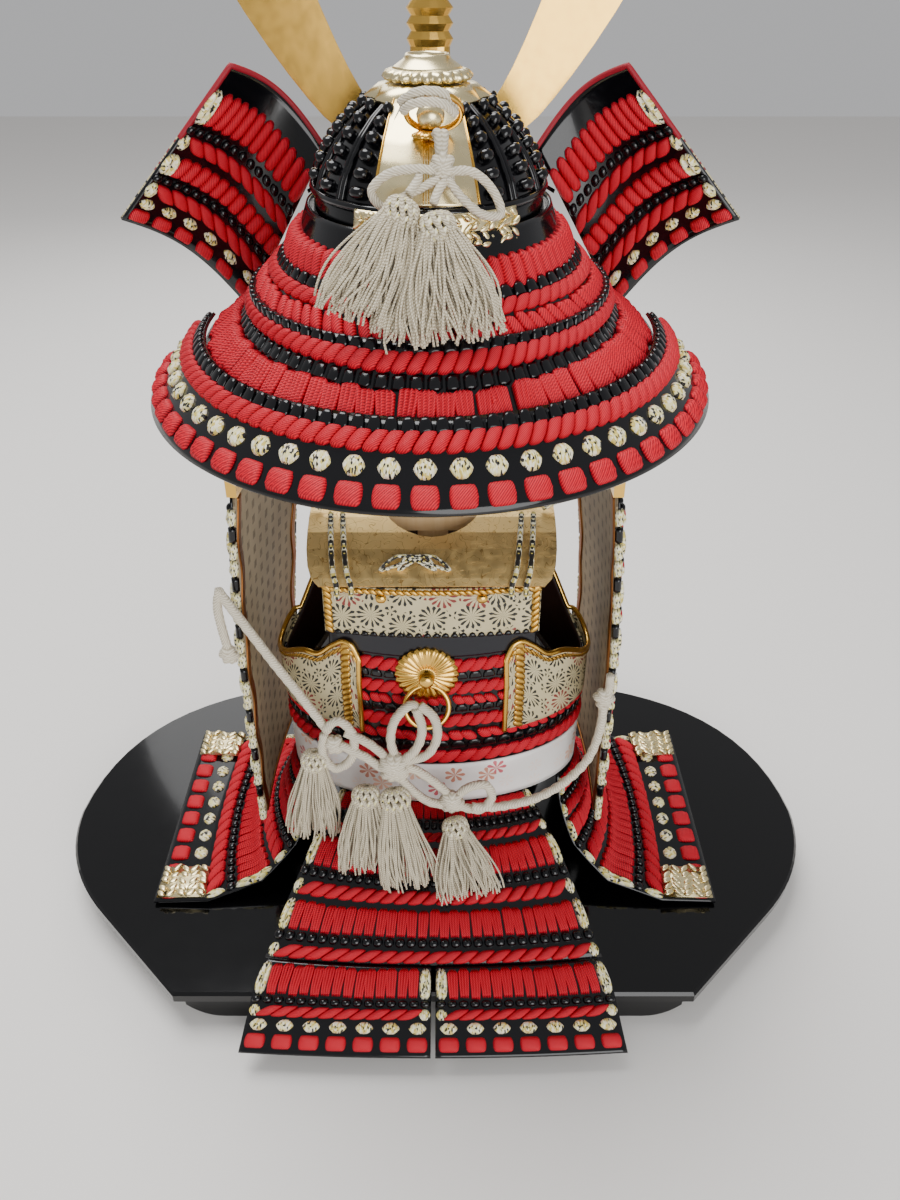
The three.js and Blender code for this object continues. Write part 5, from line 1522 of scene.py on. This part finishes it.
PETAL_PLATE = ((8, 424.7), (20, 423.6, 8, 0.05), (25.5, 419.6, 8, 0.14), (25.8, 420.6, 8, 0.14),
               (20, 424.8, 8, 0.05), (8, 426.0))
LOBED_RING = ((10, 426.0), (17.2, 426.0, 22, 0.10), (18.6, 427.6, 22, 0.12), (17.0, 429.4, 22, 0.10),
              (14.5, 430.2), (10, 430))
ROLLED_CONE = ((7.4, 429.5), (14.6, 430.0), (13.2, 431.0), (9.8, 433.2), (9.0, 434.4), (8.6, 435.2),
               (7.6, 435.2), (7.2, 434))
BALL = ((0.01, 5.2), (2.4, 4.7), (4.3, 3.2), (5.4, 0.7), (5.0, -1.9), (3.3, -4.1), (0.01, -5.0))
WASHER = ((0.01, 1.8), (2.5, 1.6), (6.2, 0.2, 12, 0.10), (6.4, -0.8, 12, 0.12), (0.01, -1.2))
piece("crown_layers", [turned_layers(rings) for rings in (PETAL_PLATE, LOBED_RING, ROLLED_CONE)],
      PALE_GILT, ["crown_ornament"])
piece("helmet_ball", [turned_layers(BALL, (-1.7, 40.5, 418.6), 32)], PALE_GILT,
      ["helmet_ring_boss"])
piece("helmet_ball_washer", [turned_layers(WASHER, (-0.8, 41.5, 412.4), 96)], GILT)
piece("helmet_ring_wire", [ring_tube(above(-3, 45, 420.5), 10.2, 1.2, 45)], GILT,
      ["helmet_ring"])

# %% [markdown]
# The bows are tied from braided silk cord. Each is a set of smooth routes, with cord wound on
# itself as a small knot wherever they meet.

# %% Bows
BACK_LOOPS = (
    # the small loop that the left tassel hangs from, then the two cords on to the knot
    ((56.5, 60.5, 131), (49, 61, 137), (42, 62, 128.5), (44, 64, 112), (52.5, 64.5, 106.5),
     (58.5, 63, 115), (57, 61, 128)),
    ((46, 62, 130), (34.2, 64, 124.5), (25, 66, 116.5), (21, 66.5, 112)),
    ((49, 63, 122), (35.6, 65.5, 115.5), (27.4, 67, 109.5), (21, 67, 108)),
    # three loops up through the gilt ring
    ((18, 66.5, 111), (22, 65, 127), (19, 62.5, 140), (11, 60, 147), (6.5, 59, 143.5)),
    ((14, 67, 114), (3, 66.5, 118.5), (-2.3, 65, 129.5), (-0.7, 62.5, 140.5), (6.4, 60, 147)),
    ((15.5, 67.5, 115), (8.2, 67, 124), (5.5, 64.5, 135), (8.5, 61.5, 145.5)),
    # two cords down to the second knot, and its loop
    ((17, 67, 111), (9, 67.5, 108), (0.7, 68, 101), (-9, 69, 91)),
    ((18, 68, 103), (10, 69, 93), (2.5, 70, 87), (-7, 70, 84)),
    ((-11, 69.5, 88), (-18.8, 69, 96.5), (-28, 69, 98.5), (-31.5, 70, 90.5), (-25.6, 71, 82),
     (-13.4, 70.5, 84)),
)
# a knot is its centre, its radius and its turns
BACK_KNOTS = (((20.5, 67, 109.5), 6.6, 5), ((52, 61.5, 121), 3.6, 3), ((-10, 69.5, 86.5), 4.8, 4))
# where each free cord is tied to its shoulder guard, a short end hangs below a small knot
GUARD_ENDS = (((103, 49.5, 212), (105, 50.5, 203), (104.5, 51, 190), (103, 51, 176)),
              ((-90, 49, 141), (-92, 50, 150), (-92, 49, 158)))
GUARD_KNOTS = (((103, 51, 173), 3.2, 3), ((-90, 49.5, 143), 3.8, 3))
HELMET_LOOPS = (
    # the cord round the top of the ring, the end that comes up through it, and the two loops
    ((-12, 47, 423), (-7, 51.5, 427.3), (-1.5, 52.5, 428.3), (4, 51.5, 427.5), (9, 47, 424)),
    ((-11, 49, 420.5), (-6.5, 53.6, 424.4), (-1, 54.6, 425.2), (4.5, 53, 424.2), (8, 49, 421.5)),
    ((-3, 44, 411.8), (-4.5, 50, 414.2), (-5, 54.5, 410), (-6, 58.5, 404)),
    ((-6, 45, 412.5), (-7, 50, 414), (-6.5, 55, 409), (-6.5, 58.5, 404)),
    ((-7, 60, 403), (4, 60.5, 404), (14, 60, 402), (20, 59.5, 396), (16, 61, 391), (8, 63, 395),
     (-5, 62, 401)),
    ((-7, 60, 403), (-17, 60.5, 403), (-25, 58.5, 396), (-28, 58.5, 388), (-22, 61, 388),
     (-14, 63, 394), (-8, 62, 401)),
    ((2, 61, 402), (4, 64, 399), (6, 67, 397)), ((-8, 61, 401), (-5, 65, 398), (-3, 69, 394)),
)
HELMET_KNOTS = (((-6.4, 59, 403.5), 3.8, 4),)
KNOT_TILT = 0.6


def bow_lines(routes, knots, count):
    """The routes as smooth lines, and the rounds of cord of each knot."""
    lines = [smooth_line(route, count) for route in routes]
    t = np.linspace(0, 2 * math.pi, 25)
    for centre, radius, turns in knots:
        for index in range(turns):
            phase = index * math.pi / turns
            x = radius * np.cos(t) * math.cos(phase)
            y = radius * 0.6 * np.sin(t)
            z = radius * (np.cos(t) * math.sin(phase) + 0.35 * np.sin(t + KNOT_TILT))
            lines.append(above(centre[0] + x, centre[1] + y, centre[2] + z))
    return lines


BOWS = (
    # name, routes, knots, points a route, cord, solids that it stands for
    ("back_bow_cord", BACK_LOOPS, BACK_KNOTS, 60, dict(radius=CORD_RADIUS - 0.25, **BRAID_ROUND_CORD),
     ["back_bow"]),
    ("guard_cord_ends", GUARD_ENDS, GUARD_KNOTS, 24, dict(radius=CORD_RADIUS - 0.4, **BRAID_ROUND_CORD), []),
    ("helmet_bow_cord", HELMET_LOOPS, HELMET_KNOTS, 48,
     dict(radius=1.5, sides=14, step=0.6, strand=0.22, strands=4.0, pitch=4.4), ["helmet_bow"]),
)
for name, routes, knots, count, cord, replaced in BOWS:
    piece(name, [tubes(bow_lines(routes, knots, count), **cord)], IVORY_CORD, replaced)

# %% [markdown]
# A tassel is a bundle of twisted floss. Its strands start close together under a woven head and
# fan out with small chance bends, so they are drawn as lines from head to tip with a fixed random
# seed and turned into thin tubes.

# %% Tassels
TASSELS = (
    # name, head, tip, head half, tip half, head depth, tip depth, strands, wave
    ("back_tassel_left", (63, 62.5, 116), (66, 71, 63), 6.5, 15, 5.5, 5.0, 110, 1.4),
    ("back_tassel_middle", (21, 72, 98), (13, 93, 47), 7.5, 15, 5.5, 5, 120, 1.4),
    ("back_tassel_middle_left", (36, 70, 98), (37, 88, 53), 7, 15, 5.5, 5, 110, 1.4),
    ("back_tassel_right", (-11, 75, 79), (-20, 97, 43), 6.5, 19, 5, 4.4, 120, 2.2),
    ("helmet_tassel_left", (7, 69, 395), (25, 88, 357), 6, 18, 5, 4.6, 140, 2.2),
    ("helmet_tassel_right", (-4, 72, 391), (-10, 92, 351), 6, 18, 5, 4.6, 140, 2.6),
)
FIRST_SEED = 11
STRAND_RADIUS, STRAY_SHARE, STRAY_BEND = 0.5, 0.12, 2.2
UNDER_HEAD = 0.7
ARCH = 1.6
HEAD_LOOPS = 11


def tassel_axes(head, tip):
    """The head's place in millimetres, the way to the tip, and the unit ways across and deep."""
    head, tip = (np.array([x, y, height + BOARD_TOP]) for x, y, height in (head, tip))
    axis = tip - head
    depth = np.cross((1.0, 0, 0), axis)
    depth /= np.linalg.norm(depth)
    across = np.cross(axis, depth)
    return head, axis, across / np.linalg.norm(across), depth


def tassel_strands(axes, halves, depths, count, wave, seed):
    """Strand lines from under the head: they spread at once, arch, and then hang with small waves."""
    chance = np.random.default_rng(seed)
    start, axis, across, depth = axes
    t = np.linspace(0.12, 1, 10)
    spread = np.sin(t * math.pi / 2) ** 1.1
    half, thick = (top * UNDER_HEAD + (bottom - top * UNDER_HEAD) * spread
                   for top, bottom in (halves, depths))
    lines = []
    for _ in range(count):
        angle, share = chance.uniform(0, 2 * math.pi), chance.uniform(0.1, 1.0) ** 0.5
        phase, pace, lift = chance.uniform(0, 6.3), chance.uniform(3.0, 8.0), chance.uniform(-1, 1)
        reach = chance.uniform(0.88, 1.04)
        bend = wave * (STRAY_BEND if chance.uniform() < STRAY_SHARE else 1.0)
        ripple = bend * (np.sin(t * pace + phase) - math.sin(phase)) * t
        side = share * math.cos(angle) * half + ripple
        rise = share * math.sin(angle) * thick + ARCH * np.sin(math.pi * t) + 0.5 * bend * lift * t
        lines.append((start + (t * reach)[:, None] * axis + side[:, None] * across
                      + rise[:, None] * depth) * MM)
    return lines


def tassel_head(axes, half, deep, first_angle):
    """The woven head: cord loops over a ball, with gold thread between them."""
    start, axis, across, depth = axes
    t = np.linspace(0, math.pi, 12)
    swell = 0.2 + 0.8 * np.sin(t) ** 0.6
    drop = (half * 0.8 * (1 - np.cos(t)))[:, None] * axis / np.linalg.norm(axis)
    ivory, gold = [], []
    for index in range(HEAD_LOOPS):
        angle = index * 2 * math.pi / HEAD_LOOPS + first_angle
        for turn, store in ((0.4, ivory), (-0.4, gold)):
            around = angle + turn * (t - math.pi / 2)
            ring = (np.cos(around) * half)[:, None] * across + (np.sin(around) * deep)[:, None] * depth
            store.append((start + ring * swell[:, None] + drop) * MM)
    return ivory, gold


gold_parts = []
for number, (name, head, tip, half, tip_half, deep, tip_deep, count, wave) in enumerate(TASSELS):
    axes = tassel_axes(head, tip)
    lines = tassel_strands(axes, (half, tip_half), (deep, tip_deep), count, wave, FIRST_SEED + number)
    ivory, gold = tassel_head(axes, half, deep, number)
    piece(name + "_strands", [tubes(lines, STRAND_RADIUS, sides=5, step=4.0), tubes(ivory, 1.1, step=1.5)],
          IVORY_FLOSS, [name])
    gold_parts.append(tubes(gold, 0.8, step=1.5))
piece("tassel_gold_threads", gold_parts, FLECKED_SILK)

# %% [markdown]
# Flecked cords tie the gilt shoulder plate to the back plate, and one at each side carries the
# shoulder guard. They follow the shoulder plate's curve, just above the metal.

# %% Shoulder ties
SHOULDER = np.array([  # y and height, from the plate's back edge to its front edge
    (49.5, 213.8), (43, 219), (30, 227), (12, 232), (-8, 232), (-28, 226), (-42, 217), (-49, 211)])
TIE_RADIUS, TIE_GAP = 1.4, 0.5
TIE_BRAID = dict(radius=TIE_RADIUS - 0.1, sides=10, step=0.7, strand=0.15, strands=3.0, pitch=3.6)
TIES = (
    # name, x at the top, x at the back edge
    ("left_outer", 51, 46), ("left_inner", 45, 39), ("right_inner", -45, -39), ("right_outer", -51, -46))
TIE_STEPS = (0.42, 0.3, 0.18, 0.08, 0.0)
KNOT_LOOPS = ((8, 17, 25), (8, -1, -9), (6, 12, 16), (10, 3, -2))  # x at the root, side and end


def shoulder_point(x, along, out):
    """A point over the shoulder plate: along runs from its back edge, 0, to its front edge, 1."""
    place = along * (len(SHOULDER) - 1)
    i = int(min(math.floor(place), len(SHOULDER) - 2))
    t = place - i
    before, start, end, after = SHOULDER[np.clip(np.arange(i - 1, i + 3), 0, len(SHOULDER) - 1)]
    leave, arrive = (end - before) / 2, (after - start) / 2
    cubic = 2 * start - 2 * end + leave + arrive
    square = -3 * start + 3 * end - 2 * leave - arrive
    spot = cubic * t ** 3 + square * t ** 2 + leave * t + start
    slope = cubic * 3 * t ** 2 + square * 2 * t + leave
    slope /= np.linalg.norm(slope)
    return (x, spot[0] + slope[1] * out, spot[1] - slope[0] * out)


def tie(name, route, count):
    """One flecked cord along a route of chosen points."""
    piece(name + "_braid", [tubes([smooth_line(route, count)], **TIE_BRAID)], DARK_FLECKED_SILK,
          [name])


for name, top, bottom in TIES:
    route = [shoulder_point(top + number / 4 * (bottom - top), along, TIE_RADIUS + TIE_GAP)
             for number, along in enumerate(TIE_STEPS)]
    x, y, height = route[-1]
    tie(f"shoulder_tie_{name}", [*route, (x, y + 1.6, height - 7)], 40)
for name, side in SIDES:
    x, y, z = guard_point(side, 0.42, GUARD_TOP - 6, -GUARD_WALL - 0.6 - TIE_RADIUS) / MM
    start, end = (x, y, z - BOARD_TOP), shoulder_point(side * 56, 0.45, TIE_RADIUS + TIE_GAP)
    x, y, height = ((a + b) / 2 for a, b in zip(start, end))
    tie(f"shoulder_guard_tie_{name}", (start, (x, y, height - 3), end), 20)
_, y, height = shoulder_point(0, 0.20, 3.0)
ornament = [smooth_line(((root, y, height), (side, y + 3, height - 3), (far, y + 4, height - 5),
                         (side, y + 0.5, height + 0.5), (root, y, height)), 28)
            for root, side, far in KNOT_LOOPS]
piece("shoulder_plate_knot", [tubes(ornament, 0.8, step=0.8, strand=0.1, strands=3.0, pitch=3.6)],
      DARK_FLECKED_SILK)
print("cords and tassels made")

# %% [markdown]
# The solids whose shapes are already right keep them and only get a finish: the board and its
# feet, the stand, the gilt horns, crest, shoulder plate and guard plates, and the visor.

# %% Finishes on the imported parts
FINISHES = (
    (BOARD_LACQUER, ("lacquer_board", "board_foot_back_left", "board_foot_back_right",
                     "board_foot_front_left", "board_foot_front_right")),
    (CYPRESS, ("display_stand",)),
    (CHASED_GILT, ("shoulder_plate",)),
    (GILT, ("horn_left", "horn_right", "horn_socket", "front_crest", "shoulder_guard_plate_left",
            "shoulder_guard_plate_right")),
    (BLACK_LACQUER, ("visor",)),
)
for material, names in FINISHES:
    for name in names:
        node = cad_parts[name]
        node.data.materials.clear()
        node.data.materials.append(material)
print("finished", sum(len(names) for _, names in FINISHES), "packed parts")

# %% [markdown]
# The item shapes were only patterns, so they go. The armour stands on a plain pale floor under
# three soft lights: one above, a low one behind the viewer and a weak one in front of the armour.

# %% Floor, light and finish
for made in ITEMS.values():
    bpy.data.objects.remove(made)

FLOOR_HALF = 3.0
floor_mesh = bpy.data.meshes.new("floor")
corners = [(x * FLOOR_HALF, y * FLOOR_HALF, 0.0) for x, y in ((-1, -1), (1, -1), (1, 1), (-1, 1))]
floor_mesh.from_pydata(corners, [], [(0, 1, 2, 3)])
floor = linked("floor", floor_mesh)
floor.data.materials.append(new_material("pale_paper_floor", "e6e3df", 0.9)[0])

world = bpy.data.worlds.new("studio")
bpy.context.scene.world = world
world.use_nodes = True
sky = next(n for n in world.node_tree.nodes if n.type == "BACKGROUND")
sky.inputs["Color"].default_value = srgb("f2f2f4")
sky.inputs["Strength"].default_value = 0.55

LIGHTS = (
    # name, place, target, size, power
    ("key_light", (0.35, -0.3, 1.7), (0, 0, 0.2), 1.1, 31.0),
    ("fill_light", (-0.45, 1.35, 0.5), (0, 0, 0.2), 1.2, 20.0),
    ("front_light", (0.2, -1.3, 1.0), (0, 0, 0.3), 1.0, 7.0),
)
for name, place, target, size, power in LIGHTS:
    disc = bpy.data.lights.new(name, "AREA")
    disc.shape = "DISK"
    disc.size = size
    disc.energy = power
    light = linked(name, disc)
    light.location = place
    light.rotation_mode = "QUATERNION"
    light.rotation_quaternion = (Vector(target) - Vector(place)).to_track_quat("-Z", "Y")
